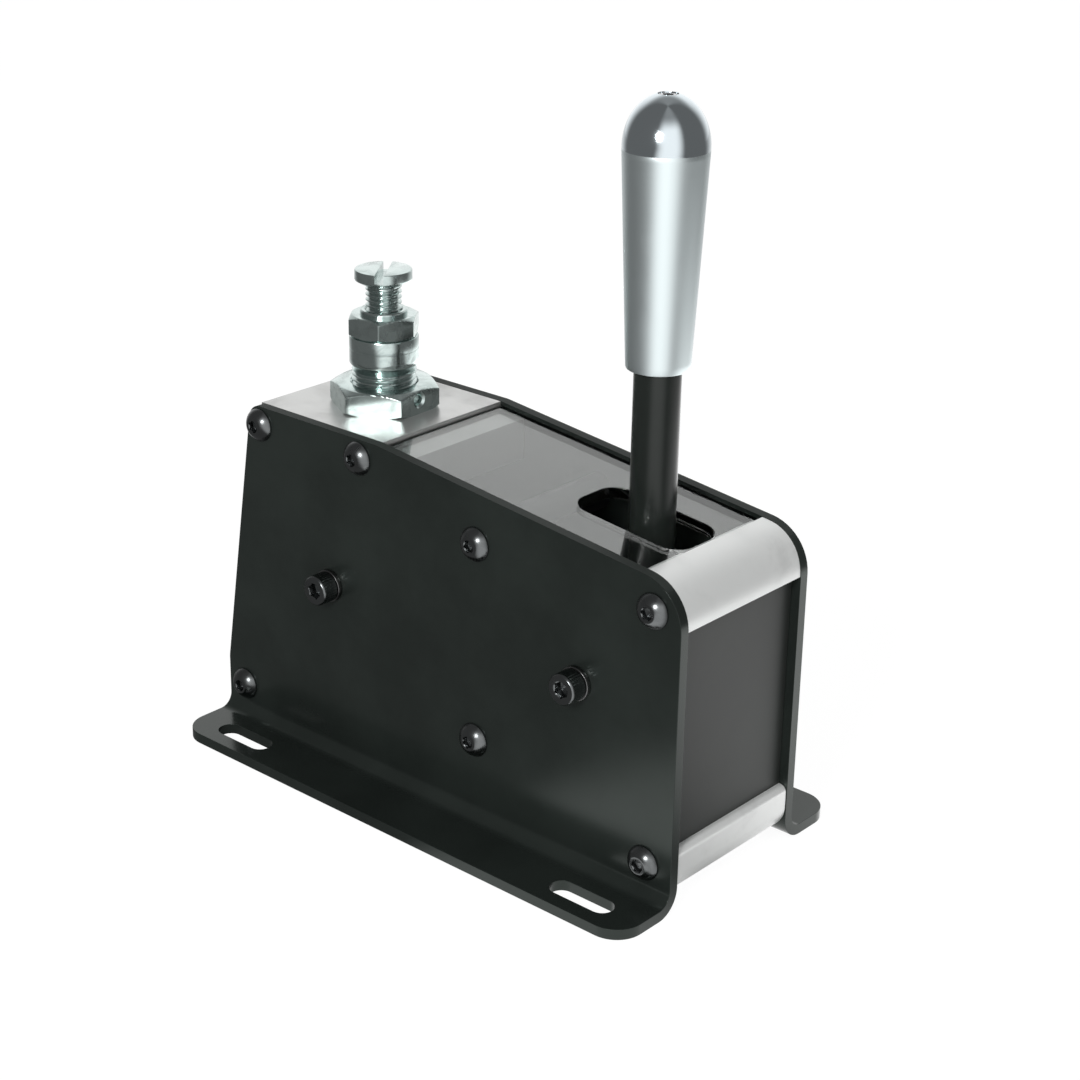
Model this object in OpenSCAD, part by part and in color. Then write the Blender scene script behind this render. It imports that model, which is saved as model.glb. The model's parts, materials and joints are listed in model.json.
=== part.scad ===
// Sequential gear shifter for a driving simulator.
// Frame: +Z up, +X towards the driver, origin under the middle of the case on the floor.
// The case is two folded side plates with turned parts and bars between them. The lever
// turns on the front shaft, and a level link turns the detent cam on the rear shaft.

/* [Side plates] */
// Length of a side plate
plate_l = 164.5; // [156:0.5:176]
// Height of the level top
plate_h = 100; // [98:0.5:106]
// Height where the sloping top would meet the front edge
front_h = 88.8; // [86:0.2:92]
// Length of the level top
top_l = 49; // [47:0.5:53]
// How far the rear edge leans in at the top
rear_lean = 12.7; // [9:0.1:15]
// Height at which the rear edge starts to lean
lean_z = 19; // [18.6:0.1:26]
// Radius where the rear edge starts to lean
lean_r = 12; // [6:0.5:20]
// Sheet thickness
plate_t = 3; // [2:0.25:4]
// Corner radius at the rear of the top
rear_r = 4.5; // [2:0.5:8]
// Corner radius at the front of the top
front_r = 13; // [8:0.5:16]
// Inside radius of the fold
bend_r = 4; // [2:0.5:6]

/* [Mounting flange] */
// Width of the flange outside the plate
flange_w = 19.5; // [17:0.5:26]
// Corner radius of the flange
flange_r = 8; // [4:0.5:10]
// From the ends of the flange to the middle of a slot
slot_end_in = 18.95; // [15:0.05:27]
// From the outer edge of the flange to the middle of a slot
slot_side_in = 7.95; // [6:0.05:10]
// Overall length of a slot
slot_l = 19.6; // [12:0.2:24]
// Width of a slot
slot_w = 6.6; // [5:0.1:8]

/* [Case] */
// Clear width between the plates
body_w = 46.5; // [42:0.5:56]
// Depth of the block, cover and bars below the plates' edges
face_drop = 0.8; // [0.2:0.1:1.5]
// Depth of the rear block
block_h = 16; // [14:0.5:17]
// Thickness of the clear cover
cover_t = 3; // [2:0.25:4]
// Length of the nose bar on top
nose_l = 12.8; // [11:0.2:14]
// Height of the nose bar at the front edge
nose_h = 12.8; // [12:0.2:14.8]
// Width of the ledge under each end of the cover
ledge = 3; // [2:0.25:4]
// Height of the foot bar's underside
foot_z = 2; // [1:0.25:4]
// Height of the foot bar
foot_h = 14; // [13:0.5:16]
// Length of the foot bar
foot_l = 13.8; // [12:0.2:16]
// Radius of the foot bar's lower front edge
foot_r = 5.5; // [2:0.5:6.5]
// Thickness of the front and rear panels
panel_t = 2; // [1.5:0.25:2.5]
// Depth of the front panel behind the bars
panel_in = 1.8; // [1:0.2:2.4]
// Depth of the rear panel inside the plates' rear edge
rear_in = 4; // [3:0.25:6]
// Depth of a panel in its groove
groove = 2; // [1:0.25:2.25]
// Side of the square rear spacer
rear_bar = 12; // [10:0.5:12.5]
// Diameter of the two round spacers
spacer_d = 8; // [7:0.5:9]

/* [Slot in the cover] */
// Length of the slot
gate_l = 35.4; // [33:0.2:36]
// Width of the slot
gate_w = 19; // [16:0.5:24]
// How far the slot's middle lies behind the lever shaft
gate_back = 0.5; // [0.3:0.1:1.5]
// Corner radius of the slot
gate_r = 6; // [3:0.5:7]

/* [Screw positions] */
// From the top rear corner to the first block screw
block_screw_in = 3.8; // [3.6:0.1:6]
// Distance between the block screws
block_screw_pitch = 38.6; // [36:0.2:40]
// Depth of the block screws below the level top
block_screw_drop = 5.4; // [5:0.1:8]
// From the front edge to the round spacers
spacer_in = 66.75; // [62:0.25:72]
// Depth of the upper spacer below the sloping top
upper_spacer_drop = 14; // [12:0.2:18]
// Depth of the lower spacer below the link
lower_spacer_drop = 8.6; // [8.5:0.1:12]
// From the front edge to the nose and foot bar screws
front_screw_in = 8.7; // [8:0.1:9.5]
// Depth of the nose bar screw below the front corner
nose_screw_drop = 7.5; // [6:0.1:8.6]
// From the rear edge to the rear spacer screw
rear_screw_in = 6.9; // [6.6:0.1:9]
// Depth of the lowest screws below the foot bar's top
foot_screw_drop = 4; // [3.6:0.1:7]

/* [Screws] */
// Diameter of the case screws
screw_d = 5; // [4:0.5:5]
// Length of a screw under its head
screw_l = 12; // [10:0.5:14]
// Diameter of a button head
button_d = 9.4; // [8:0.1:10]
// Height of a button head
button_h = 2.7; // [2:0.1:3]
// Height of the straight rim under a button head's dome
button_rim = 0.4; // [0.2:0.05:0.6]
// Width across flats of the socket in a button head
button_key = 3; // [2.5:0.5:4]
// Depth of the socket in a button head
button_key_h = 1.6; // [1:0.1:1.9]
// Diameter of a cap head
cap_d = 8.5; // [7.5:0.1:9.5]
// Height of a cap head
cap_h = 5; // [4:0.1:6]
// Width across flats of the socket in a cap head
cap_key = 4; // [3:0.5:5]
// Depth of the socket in a cap head
cap_key_h = 2.5; // [1.5:0.1:3.5]
// Diameter of a washer
washer_d = 9.2; // [9:0.1:12]
// Thickness of a washer
washer_t = 1.4; // [0.6:0.1:1.6]

/* [Shafts] */
// From the front edge to the lever shaft
lever_shaft_in = 31.85; // [31:0.05:33.5]
// From the rear edge to the cam shaft
cam_shaft_in = 43.75; // [42:0.05:45]
// Clearance between the cam's rim and the block
cam_clear = 2.7; // [2:0.1:4]
// Diameter of the shafts
shaft_d = 8; // [7:0.25:8.5]
// Outer diameter of the bushes
bush_d = 12; // [11:0.25:12.5]
// Flange diameter of the bushes
bush_flange_d = 16; // [14:0.5:17]
// Flange thickness of the bushes
bush_flange_t = 1.5; // [1:0.25:2]

/* [Lever] */
// How far the lever stands ahead of its shaft
lever_ahead = 1.6; // [0.6:0.1:2.1]
// Diameter of the lever tube
tube_d = 12; // [10:0.25:12.5]
// Bore of the lever tube
tube_bore = 8; // [6:0.25:8.5]
// Diameter of the lever's barrel
barrel_d = 20; // [18:0.5:21]
// Width of the lever's barrel
barrel_w = 20; // [18:0.5:24]
// Diameter of the socket for the tube
socket_d = 17; // [16:0.25:17.5]
// Height of the socket's mouth above the shaft
socket_h = 21.5; // [20:0.5:22]
// Depth of the tube in the socket
socket_in = 10; // [8:0.5:10]
// Diameter of the pin across the socket
tube_pin_d = 4; // [3:0.25:4.5]

/* [Knob] */
// Height of the knob's lower end above the shaft
knob_lift = 77.1; // [70:0.1:86]
// Length of the knob
knob_l = 67.9; // [60:0.1:75]
// Diameter at the lower end
knob_d0 = 16.2; // [15:0.1:18]
// Diameter where the taper meets the dome
knob_d1 = 21.3; // [19:0.1:24]
// Height of the dome
dome_h = 12.9; // [10:0.1:15]
// Depth of the tube in the knob
knob_bore_l = 24; // [16:0.5:30]
// Diameter of the grub screw in the dome
grub_d = 5; // [4:0.25:6]
// Length of the grub screw
grub_l = 7.4; // [6:0.1:9]

/* [Link and cam] */
// Radius of the two cranks
crank_r = 20; // [19:0.1:20.2]
// Diameter of the crank pins
crank_pin_d = 5; // [4:0.25:5.5]
// Radius of the link's eyes and the cranks' ends
eye_r = 5.5; // [5:0.1:6]
// Thickness of the link
link_t = 6.6; // [6:0.1:6.8]
// Height of the link's bar
link_h = 7; // [6:0.25:8]
// Clearance at each side of the link in the forks
link_play = 0.2; // [0.1:0.05:0.4]
// Thickness of one fork arm
fork_t = 4; // [3:0.25:4.5]
// Diameter of the cam's barrel
cam_barrel_d = 18; // [17:0.5:19]
// Width of the cam's barrel
cam_barrel_w = 16; // [15:0.5:18]
// Thickness of the cam
cam_t = 8; // [6:0.5:9]
// Radius of the cam's rim
cam_rim_r = 26; // [25.5:0.1:26.4]
// Radius of the floor of the cam's saddle
cam_floor_r = 22; // [21:0.1:22.5]
// Half angle of the saddle's floor
cam_floor_a = 21; // [21:0.5:24]
// Half angle where the saddle meets the rim
cam_ramp_a = 30; // [28:0.5:33]
// Half angle of the whole sector
cam_sector_a = 38; // [36:0.5:42]

/* [Detent plunger] */
// How far the plunger stands behind the cam shaft
plunger_back = 4.6; // [3.5:0.1:5.5]
// Thread diameter of the housing
housing_d = 18; // [16:0.25:18.5]
// Diameter of the housing's collar
collar_d = 19.2; // [19:0.1:21]
// Height of the collar with its chamfer
collar_h = 9.6; // [8:0.2:12]
// Height of the chamfer under the collar
collar_chamfer = 1.8; // [1:0.1:2.5]
// Bare thread between the big nut and the collar
neck_h = 3.7; // [2:0.1:6]
// Length of the housing's guide for the pin
guide_l = 6.6; // [5:0.2:8]
// How far the housing stands out under the block
housing_out = 0.8; // [0:0.1:1]
// Width across flats of the big nut
big_nut_af = 27; // [25:0.5:30]
// Height of the big nut
big_nut_h = 7.5; // [6:0.1:9]
// Width across flats of the lock nut
lock_nut_af = 18; // [16:0.5:19]
// Height of the lock nut
lock_nut_h = 6; // [5:0.1:8]
// Diameter of the shoulder on the lock nut
shoulder_d = 13; // [12:0.25:15]
// Height of the shoulder on the lock nut
shoulder_h = 1.3; // [0.5:0.1:2]
// Thread diameter of the adjuster
adjuster_d = 10; // [9:0.25:10.5]
// Bare thread between the lock nut and the adjuster's head
adjuster_gap = 7; // [5:0.2:10]
// Diameter of the adjuster's head
head_d = 15.8; // [14:0.1:18]
// Height of the adjuster's head
head_h = 4.2; // [3:0.1:6]
// Width of the slot in the head
head_slot_w = 2.4; // [1.5:0.1:3]
// Depth of the slot in the head
head_slot_h = 2.4; // [1.5:0.1:3]
// Diameter of the detent pin
pin_d = 8; // [7:0.25:8.5]
// Thickness of the detent pin's head
pin_head_h = 3; // [2:0.25:4]
// Height of the spring at rest
spring_h = 15; // [14:0.5:17]
// Outer diameter of the spring
spring_d = 10.3; // [9.5:0.1:10.5]
// Clearance round the spring in its bore
spring_play = 0.35; // [0.2:0.05:0.6]
// Wire of the spring
wire_d = 1.5; // [1:0.1:1.6]
// Turns of the spring
turns = 6; // [5:0.5:6]
// Thickness of the spring cup
cup_h = 2.5; // [2:0.1:3]

/* [Sensor] */
// Length of the sensor board
board_l = 36; // [30:1:40]
// Height of the sensor board
board_h = 20; // [18:0.5:22]
// Thickness of the sensor board
board_t = 1.6; // [1:0.1:2]
// Length of the board's standoffs
standoff_l = 12; // [10:0.25:13]
// Place of the sensor along the case
sensor_x = 5; // [2:0.5:8]
// How far the sensor board reaches below the link's middle
board_drop = 2.5; // [1:0.1:3]
// From the board's edges to its screws
board_screw_in = 4; // [3.5:0.1:6]
// Diameter of the board screws
board_screw_d = 3; // [2:0.25:3]
// Diameter of the board screws' heads
board_head_d = 5.5; // [4:0.1:6]
// Height of the board screws' heads
board_head_h = 1.8; // [1.2:0.1:2.4]
// Width across corners of the standoffs
standoff_d = 6; // [5:0.1:7]
// Length of the sensor chip
chip_l = 6; // [4:0.5:8]
// Height of the sensor chip
chip_h = 5; // [3:0.5:6]
// Thickness of the sensor chip
chip_t = 1.5; // [0.8:0.1:2]
// Diameter of the magnet in the link
magnet_d = 5; // [4:0.25:6]
// Thickness of the magnet
magnet_t = 2.5; // [2:0.1:3]

/* [Rear socket] */
// Height of the socket in the rear panel
usb_z = 36; // [30:1:60]
// Width of the socket's shell
usb_w = 9; // [8:0.1:10]
// Height of the socket's shell
usb_h = 3.2; // [2.8:0.1:4]
// Wall of the socket's shell
usb_wall = 0.35; // [0.25:0.05:0.5]
// Depth of the socket's shell
usb_l = 7; // [6:0.1:9]
// Width of the socket's tongue
usb_tongue_w = 6.6; // [5:0.1:7]
// Thickness of the socket's tongue
usb_tongue_t = 0.7; // [0.5:0.1:1]
// Height of the socket's mounting plate
usb_plate_h = 8; // [7:0.1:9]
// Thickness of the socket's mounting plate
usb_plate_t = 1.5; // [1:0.1:2]
// Distance between the socket's screws
usb_pitch = 16; // [15:0.1:20]
// Diameter of the socket's screws
usb_screw_d = 2.5; // [2:0.1:3]
// Length of the socket's screws
usb_screw_l = 4.5; // [4:0.1:6]
// Diameter of the heads of the socket's screws
usb_head_d = 4.6; // [4:0.1:5.4]
// Height of the heads of the socket's screws
usb_head_h = 1.4; // [1:0.1:2]

/* [Hidden] */
$fn = 64;
play = 0.05;            // radial running clearance
gap = 0.1;              // clearance between parts that only lie beside each other
mid_y = body_w / 2;
out_y = mid_y + plate_t;
fold = plate_t + bend_r;
rear_x = -plate_l / 2;
front_x = plate_l / 2;
corner_x = rear_x + rear_lean;
kink_x = corner_x + top_l;
slope = (plate_h - front_h) / (front_x - kink_x);
lean_a = atan(rear_lean / (plate_h - lean_z));
block_z0 = plate_h - face_drop - block_h;
nose_x = front_x - nose_l;
bar_x = front_x - face_drop;
panel_x = bar_x - panel_in - panel_t;
foot_x = bar_x - foot_l;
nose_z = front_h - nose_h;
hole_d = screw_d + 0.3;
tap_d = screw_d + 0.1;
rear_bar_x = rear_x + rear_screw_in;
front_screw_x = front_x - front_screw_in;
nose_screw_z = front_h - nose_screw_drop;
low_screw_z = foot_z + foot_h - foot_screw_drop;
slot_pitch_x = plate_l - 2 * slot_end_in;
slot_pitch_y = 2 * (out_y + flange_w - slot_side_in);
lever_shaft_x = front_x - lever_shaft_in;
cam_shaft_x = rear_x + cam_shaft_in;
shaft_z = block_z0 - cam_clear - cam_rim_r;
lever_x = lever_shaft_x + lever_ahead;
knob_z = shaft_z + knob_lift;
plunger_x = cam_shaft_x - plunger_back;
crank_z = shaft_z - crank_r;
fork_gap = link_t + 2 * link_play;
spacer_x = front_x - spacer_in;
upper_spacer_z = plate_h - slope * (spacer_x - kink_x) - upper_spacer_drop;
lower_spacer_z = crank_z - lower_spacer_drop;
tube_z = shaft_z + socket_h - socket_in;
grub_z = knob_z + knob_l - grub_l - 0.6;
nut_z = block_z0 + block_h;
collar_z = nut_z + big_nut_h + neck_h;
housing_top = collar_z + collar_h;
housing_z = block_z0 - housing_out;
guide_z = housing_z + guide_l;
lock_top = housing_top + lock_nut_h + shoulder_h;
head_z = lock_top + adjuster_gap;
spring_hole_d = spring_d + 2 * spring_play;
thread_l = 8;           // adjuster thread inside the housing
tip_gap = 0.15;         // between the pin's tip and the saddle
tip_z = shaft_z + sqrt(pow(cam_floor_r + pin_d / 2 + tip_gap, 2) - pow(plunger_back, 2));
plunger_a = -atan2(plunger_back, tip_z - shaft_z);
pin_head_z = guide_z + play;
spring_z = pin_head_z + pin_head_h;
cup_z = spring_z + spring_h;
board_y = mid_y - standoff_l;
board_z = crank_z - board_drop;
nose_r = min(front_r - face_drop, (min(nose_l, nose_h) - face_drop - gap) * tan(45 + atan(slope) / 2));
usb_hole_d = usb_screw_d + gap;

// Height of the plates' top edge at x
function top_z(x) = plate_h - slope * max(0, x - kink_x);
// Place of the leaning rear edge at height z
function lean_x(z) = rear_x + rear_lean * (z - lean_z) / (plate_h - lean_z);

// Arc that rounds the corner b between its neighbours a and c
function corner_arc(a, b, c, r, n = 12) =
    let (
        u = (a - b) / norm(a - b),
        v = (c - b) / norm(c - b),
        half = acos(u * v) / 2,
        centre = b + (u + v) / norm(u + v) * r / sin(half),
        from = b + u * r / tan(half) - centre,
        to = b + v * r / tan(half) - centre,
        start = atan2(from.y, from.x),
        turn = (atan2(to.y, to.x) - start + 540) % 360 - 180
    )
    r == 0 ? [b] : [for (i = [0:n]) centre + r * [cos(start + turn * i / n), sin(start + turn * i / n)]];

// Outline from corners given as [point, radius]
function rounded(corners) =
    let (n = len(corners))
    [for (i = [0:n - 1])
        each corner_arc(corners[(i + n - 1) % n][0], corners[i][0], corners[(i + 1) % n][0], corners[i][1])];

// Turns a drawing in X and Z into a plate of thickness t, centred on y
module across(y, t) {
    translate([0, y + t / 2, 0]) rotate([90, 0, 0]) linear_extrude(t) children();
}

// Turns a piece drawn along +Z so that it points outwards at the side, -1 or 1
module outwards(x, y, z, side) {
    translate([x, side * y, z]) rotate([-90 * side, 0, 0]) children();
}

module at_case_screws(side) {
    spots = [
        [corner_x + block_screw_in, plate_h - block_screw_drop],
        [corner_x + block_screw_in + block_screw_pitch, plate_h - block_screw_drop],
        [spacer_x, upper_spacer_z],
        [front_screw_x, nose_screw_z],
        [rear_bar_x, low_screw_z],
        [spacer_x, lower_spacer_z],
        [front_screw_x, low_screw_z]
    ];
    for (p = spots) outwards(p.x, out_y, p.y, side) children();
}

module at_shaft_screws(side) {
    for (x = [cam_shaft_x, lever_shaft_x]) outwards(x, out_y, shaft_z, side) children();
}

// Tapped holes for the case screws, cut from the pieces between the plates
module tapped_holes() {
    for (side = [-1, 1])
        at_case_screws(side) translate([0, 0, -screw_l - 1]) cylinder(d = tap_d, h = screw_l + 1);
}

module hex(af, h) {
    cylinder(d = af / cos(30), h = h, $fn = 6);
}

// Folded plate at the +Y side
module side_plate() {
    difference() {
        union() {
            across(out_y - plate_t / 2, plate_t) polygon(rounded([
                [[rear_x, fold], 0], [[front_x, fold], 0], [[front_x, front_h], front_r],
                [[kink_x, plate_h], 0], [[corner_x, plate_h], rear_r], [[rear_x, lean_z], lean_r]
            ]));
            translate([rear_x, out_y + bend_r, fold]) rotate([90, 0, 90]) linear_extrude(plate_l)
                intersection() {
                    difference() {
                        circle(r = fold);
                        circle(r = bend_r);
                    }
                    translate([-fold, -fold]) square(fold);
                }
            linear_extrude(plate_t) polygon(rounded([
                [[rear_x, out_y + bend_r], 0], [[front_x, out_y + bend_r], 0],
                [[front_x, out_y + flange_w], flange_r], [[rear_x, out_y + flange_w], flange_r]
            ]));
        }
        at_case_screws(1) translate([0, 0, -plate_t - 1]) cylinder(d = hole_d, h = plate_t + 2);
        at_shaft_screws(1) translate([0, 0, -plate_t - 1]) cylinder(d = hole_d, h = plate_t + 2);
        for (x = [-slot_pitch_x / 2, slot_pitch_x / 2])
            translate([x, slot_pitch_y / 2, -1]) linear_extrude(plate_t + 2) {
                square([slot_l - slot_w, slot_w], center = true);
                for (s = [-1, 1]) translate([s * (slot_l - slot_w) / 2, 0]) circle(d = slot_w);
            }
    }
}

module left_side_plate() {
    color("#17181a") mirror([0, 1, 0]) side_plate();
}

module right_side_plate() {
    color("#17181a") side_plate();
}

// Section of the rear panel, and of its grooves with a clearance c
module rear_panel_section(c = 0) {
    t = panel_t / cos(lean_a);
    z0 = low_screw_z + rear_bar / 2 - groove - c;
    z1 = block_z0 + groove + c;
    polygon([
        [lean_x(z0) + rear_in - c, z0], [lean_x(z0) + rear_in + t + c, z0],
        [lean_x(z1) + rear_in + t + c, z1], [lean_x(z1) + rear_in - c, z1]
    ]);
}

// Section of the front panel, and of its grooves with a clearance c
module front_panel_section(c = 0) {
    z0 = foot_z + foot_h - groove - c;
    z1 = nose_z + groove + c;
    translate([panel_x - c, z0]) square([panel_t + 2 * c, z1 - z0]);
}

module cover_section() {
    polygon([
        [kink_x, top_z(kink_x) - face_drop], [nose_x, top_z(nose_x) - face_drop],
        [nose_x, top_z(nose_x) - face_drop - cover_t], [kink_x, top_z(kink_x) - face_drop - cover_t]
    ]);
}

// Rear block with the level top, the ledge for the cover and the bore of the housing
module detent_block() {
    top = plate_h - face_drop;
    lip = kink_x + ledge;
    color("#c9cbcd") difference() {
        across(0, body_w) difference() {
            polygon([
                [lean_x(block_z0), block_z0], [lip, block_z0], [lip, top_z(lip) - face_drop - cover_t],
                [kink_x, top - cover_t], [kink_x, top], [lean_x(top), top]
            ]);
            rear_panel_section(gap);
        }
        translate([plunger_x, 0, block_z0 - 1]) cylinder(d = housing_d + 2 * play, h = block_h + 2);
        tapped_holes();
    }
}

// Clear sheet with the lever's slot
module top_cover() {
    color("#aab4bb", 0.35) difference() {
        across(0, body_w) cover_section();
        translate([lever_shaft_x - gate_back, 0, nose_z]) linear_extrude(plate_h) polygon(rounded([
            for (s = [[-1, -1], [1, -1], [1, 1], [-1, 1]])
                [[s.x * gate_l / 2, s.y * gate_w / 2], gate_r]
        ]));
    }
}

// Bar that rounds off the top front edge
module nose_bar() {
    lip = nose_x - ledge;
    color("#cfd1d2") difference() {
        across(0, body_w) difference() {
            polygon(rounded([
                [[lip, nose_z], 0], [[bar_x, nose_z], 0],
                [[bar_x, top_z(bar_x) - face_drop], nose_r],
                [[nose_x, top_z(nose_x) - face_drop], 0], [[nose_x, top_z(nose_x) - face_drop - cover_t], 0],
                [[lip, top_z(lip) - face_drop - cover_t], 0]
            ]));
            front_panel_section(gap);
        }
        tapped_holes();
    }
}

module foot_bar() {
    color("#cfd1d2") difference() {
        across(0, body_w) difference() {
            polygon(rounded([
                [[foot_x, foot_z], 0], [[bar_x, foot_z], foot_r], [[bar_x, foot_z + foot_h], 1],
                [[foot_x, foot_z + foot_h], 0]
            ]));
            front_panel_section(gap);
        }
        tapped_holes();
    }
}

module rear_spacer() {
    color("#b9bbbd") difference() {
        across(0, body_w) difference() {
            translate([rear_bar_x, low_screw_z]) square(rear_bar, center = true);
            rear_panel_section(gap);
        }
        tapped_holes();
    }
}

module round_spacer(z) {
    color("#b9bbbd") difference() {
        translate([spacer_x, mid_y, z]) rotate([90, 0, 0]) cylinder(d = spacer_d, h = body_w);
        tapped_holes();
    }
}

module upper_spacer() {
    round_spacer(upper_spacer_z);
}

module lower_spacer() {
    round_spacer(lower_spacer_z);
}

module front_panel() {
    color("#141516") across(0, body_w) front_panel_section();
}

// Local frame of the socket: +X points into the case, square to the rear panel's inner face
module at_usb() {
    translate([lean_x(usb_z) + rear_in + panel_t / cos(lean_a), 0, usb_z]) rotate([0, lean_a, 0]) children();
}

module usb_outline(grow = 0) {
    w = usb_w + 2 * grow;
    h = usb_h + 2 * grow;
    square([w - h, h], center = true);
    for (s = [-1, 1]) translate([s * (w - h) / 2, 0]) circle(d = h, $fn = 32);
}

// Draws across the panel: an outline in Y and Z, from x0 to x1
module through_panel(x0, x1) {
    translate([x0, 0, 0]) rotate([90, 0, 90]) linear_extrude(x1 - x0) children();
}

module at_usb_screws(x) {
    for (s = [-1, 1]) translate([x, s * usb_pitch / 2, 0]) rotate([0, 90, 0]) children();
}

module rear_panel() {
    color("#141516") difference() {
        across(0, body_w) rear_panel_section();
        at_usb() {
            through_panel(-panel_t - 1, 1) usb_outline(gap);
            at_usb_screws(-panel_t - 1) cylinder(d = usb_hole_d, h = panel_t + 2, $fn = 32);
        }
    }
}

module usb_socket() {
    inner_x = usb_l - panel_t;
    color("#a9adb0") at_usb() difference() {
        union() {
            through_panel(0, usb_plate_t) square([usb_pitch + 2 * usb_screw_d, usb_plate_h], center = true);
            through_panel(-panel_t, inner_x) usb_outline();
        }
        difference() {
            through_panel(-panel_t - 1, inner_x - 1) usb_outline(-usb_wall);
            through_panel(-panel_t + 0.6, inner_x) square([usb_tongue_w, usb_tongue_t], center = true);
        }
        at_usb_screws(-1) cylinder(d = usb_hole_d, h = usb_plate_t + 2, $fn = 32);
    }
}

module usb_screws() {
    color("#1b1c1d") at_usb() at_usb_screws(-panel_t) {
        cylinder(d = usb_screw_d, h = usb_screw_l, $fn = 32);
        translate([0, 0, -usb_head_h]) cylinder(d = usb_head_d, h = usb_head_h, $fn = 32);
    }
}

// Button head on +Z, its shank down into the case
module button_screw() {
    crown = button_key * 0.8;
    steep = 22;
    flat = 67;
    w = (button_d / 2 - crown) / (cos(steep) - cos(flat));
    h = (button_h - button_rim) / (sin(flat) - sin(steep));
    difference() {
        union() {
            rotate_extrude() polygon([
                [0, 0], [button_d / 2, 0],
                for (a = [steep:5:flat]) [
                    crown + w * (cos(a) - cos(flat)), button_rim + h * (sin(a) - sin(steep))
                ],
                [0, button_h]
            ]);
            translate([0, 0, -screw_l]) cylinder(d = screw_d, h = screw_l);
        }
        translate([0, 0, button_h - button_key_h]) hex(button_key, button_key_h + 1);
    }
}

module cap_screw() {
    difference() {
        union() {
            cylinder(d = cap_d, h = cap_h);
            translate([0, 0, -screw_l]) cylinder(d = screw_d, h = screw_l);
        }
        translate([0, 0, cap_h - cap_key_h]) hex(cap_key, cap_key_h + 1);
    }
}

module left_case_screws() {
    color("#1d1e20") at_case_screws(-1) button_screw();
}

module right_case_screws() {
    color("#1d1e20") at_case_screws(1) button_screw();
}

module shaft_screws() {
    color("#26282a") for (side = [-1, 1]) at_shaft_screws(side) translate([0, 0, washer_t]) cap_screw();
}

module shaft_washers() {
    color("#3a3c3e") for (side = [-1, 1]) at_shaft_screws(side) difference() {
        cylinder(d = washer_d, h = washer_t);
        translate([0, 0, -1]) cylinder(d = hole_d, h = washer_t + 2);
    }
}

// Shaft between the plates, tapped at both ends
module shaft(x) {
    color("#b4b7ba") difference() {
        translate([x, mid_y, shaft_z]) rotate([90, 0, 0]) cylinder(d = shaft_d, h = body_w);
        for (side = [-1, 1]) at_shaft_screws(side) translate([0, 0, -screw_l - 1])
            cylinder(d = tap_d, h = screw_l + 1);
    }
}

module lever_shaft() {
    shaft(lever_shaft_x);
}

module cam_shaft() {
    shaft(cam_shaft_x);
}

// Tube along Y at height z, from y0 to y1
module ring_y(x, z, y0, y1, d_out, d_in) {
    translate([x, y1, z]) rotate([90, 0, 0]) difference() {
        cylinder(d = d_out, h = y1 - y0);
        translate([0, 0, -1]) cylinder(d = d_in, h = y1 - y0 + 2);
    }
}

module shaft_spacers() {
    color("#c2c4c6") for (s = [-1, 1]) mirror([0, s < 0 ? 1 : 0, 0]) {
        ring_y(lever_shaft_x, shaft_z, barrel_w / 2 + bush_flange_t + gap, mid_y, bush_d, shaft_d + 2 * play);
        ring_y(cam_shaft_x, shaft_z, cam_barrel_w / 2 + bush_flange_t + gap, mid_y, bush_d, shaft_d + 2 * play);
    }
}

// Two flanged bushes, one from each end of a barrel of width w
module bushes(x, w) {
    for (s = [-1, 1]) mirror([0, s < 0 ? 1 : 0, 0]) {
        ring_y(x, shaft_z, gap / 2, w / 2, bush_d, shaft_d + 2 * play);
        ring_y(x, shaft_z, w / 2, w / 2 + bush_flange_t, bush_flange_d, shaft_d + 2 * play);
    }
}

module lever_bushes() {
    color("#a98753") bushes(lever_shaft_x, barrel_w);
}

module cam_bushes() {
    color("#a98753") bushes(cam_shaft_x, cam_barrel_w);
}

// Fork that hangs from a barrel and takes a crank pin
module crank_fork(x) {
    for (s = [-1, 1]) across(s * (fork_gap + fork_t) / 2, fork_t) difference() {
        union() {
            translate([x - eye_r, crank_z]) square([2 * eye_r, crank_r]);
            translate([x, crank_z]) circle(r = eye_r);
        }
        translate([x, crank_z]) circle(d = crank_pin_d + 0.02);
    }
}

// Barrel on the lever shaft with the socket for the tube above and the crank below
module lever_hub() {
    color("#8f9396") difference() {
        union() {
            translate([lever_shaft_x, barrel_w / 2, shaft_z]) rotate([90, 0, 0])
                cylinder(d = barrel_d, h = barrel_w);
            translate([lever_x, 0, shaft_z]) cylinder(d = socket_d, h = socket_h);
            crank_fork(lever_shaft_x);
        }
        translate([lever_shaft_x, barrel_w, shaft_z]) rotate([90, 0, 0])
            cylinder(d = bush_d + 2 * play, h = 2 * barrel_w);
        translate([lever_x, 0, tube_z - gap]) cylinder(d = tube_d + 2 * play, h = socket_in + 5);
        translate([lever_x, socket_d, tube_z + socket_in / 2]) rotate([90, 0, 0])
            cylinder(d = tube_pin_d + 0.02, h = 2 * socket_d);
    }
}

module lever_tube() {
    color("#131415") difference() {
        translate([lever_x, 0, tube_z]) cylinder(d = tube_d, h = knob_z + knob_bore_l - tube_z);
        translate([lever_x, 0, tube_z - 1]) cylinder(d = tube_bore, h = knob_z + knob_bore_l - tube_z + 2);
        translate([lever_x, socket_d, tube_z + socket_in / 2]) rotate([90, 0, 0])
            cylinder(d = tube_pin_d + 0.02, h = 2 * socket_d);
    }
}

module tube_pin() {
    l = socket_d - 1;
    color("#9a9da0") translate([lever_x, l / 2, tube_z + socket_in / 2]) rotate([90, 0, 0])
        cylinder(d = tube_pin_d, h = l);
}

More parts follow.
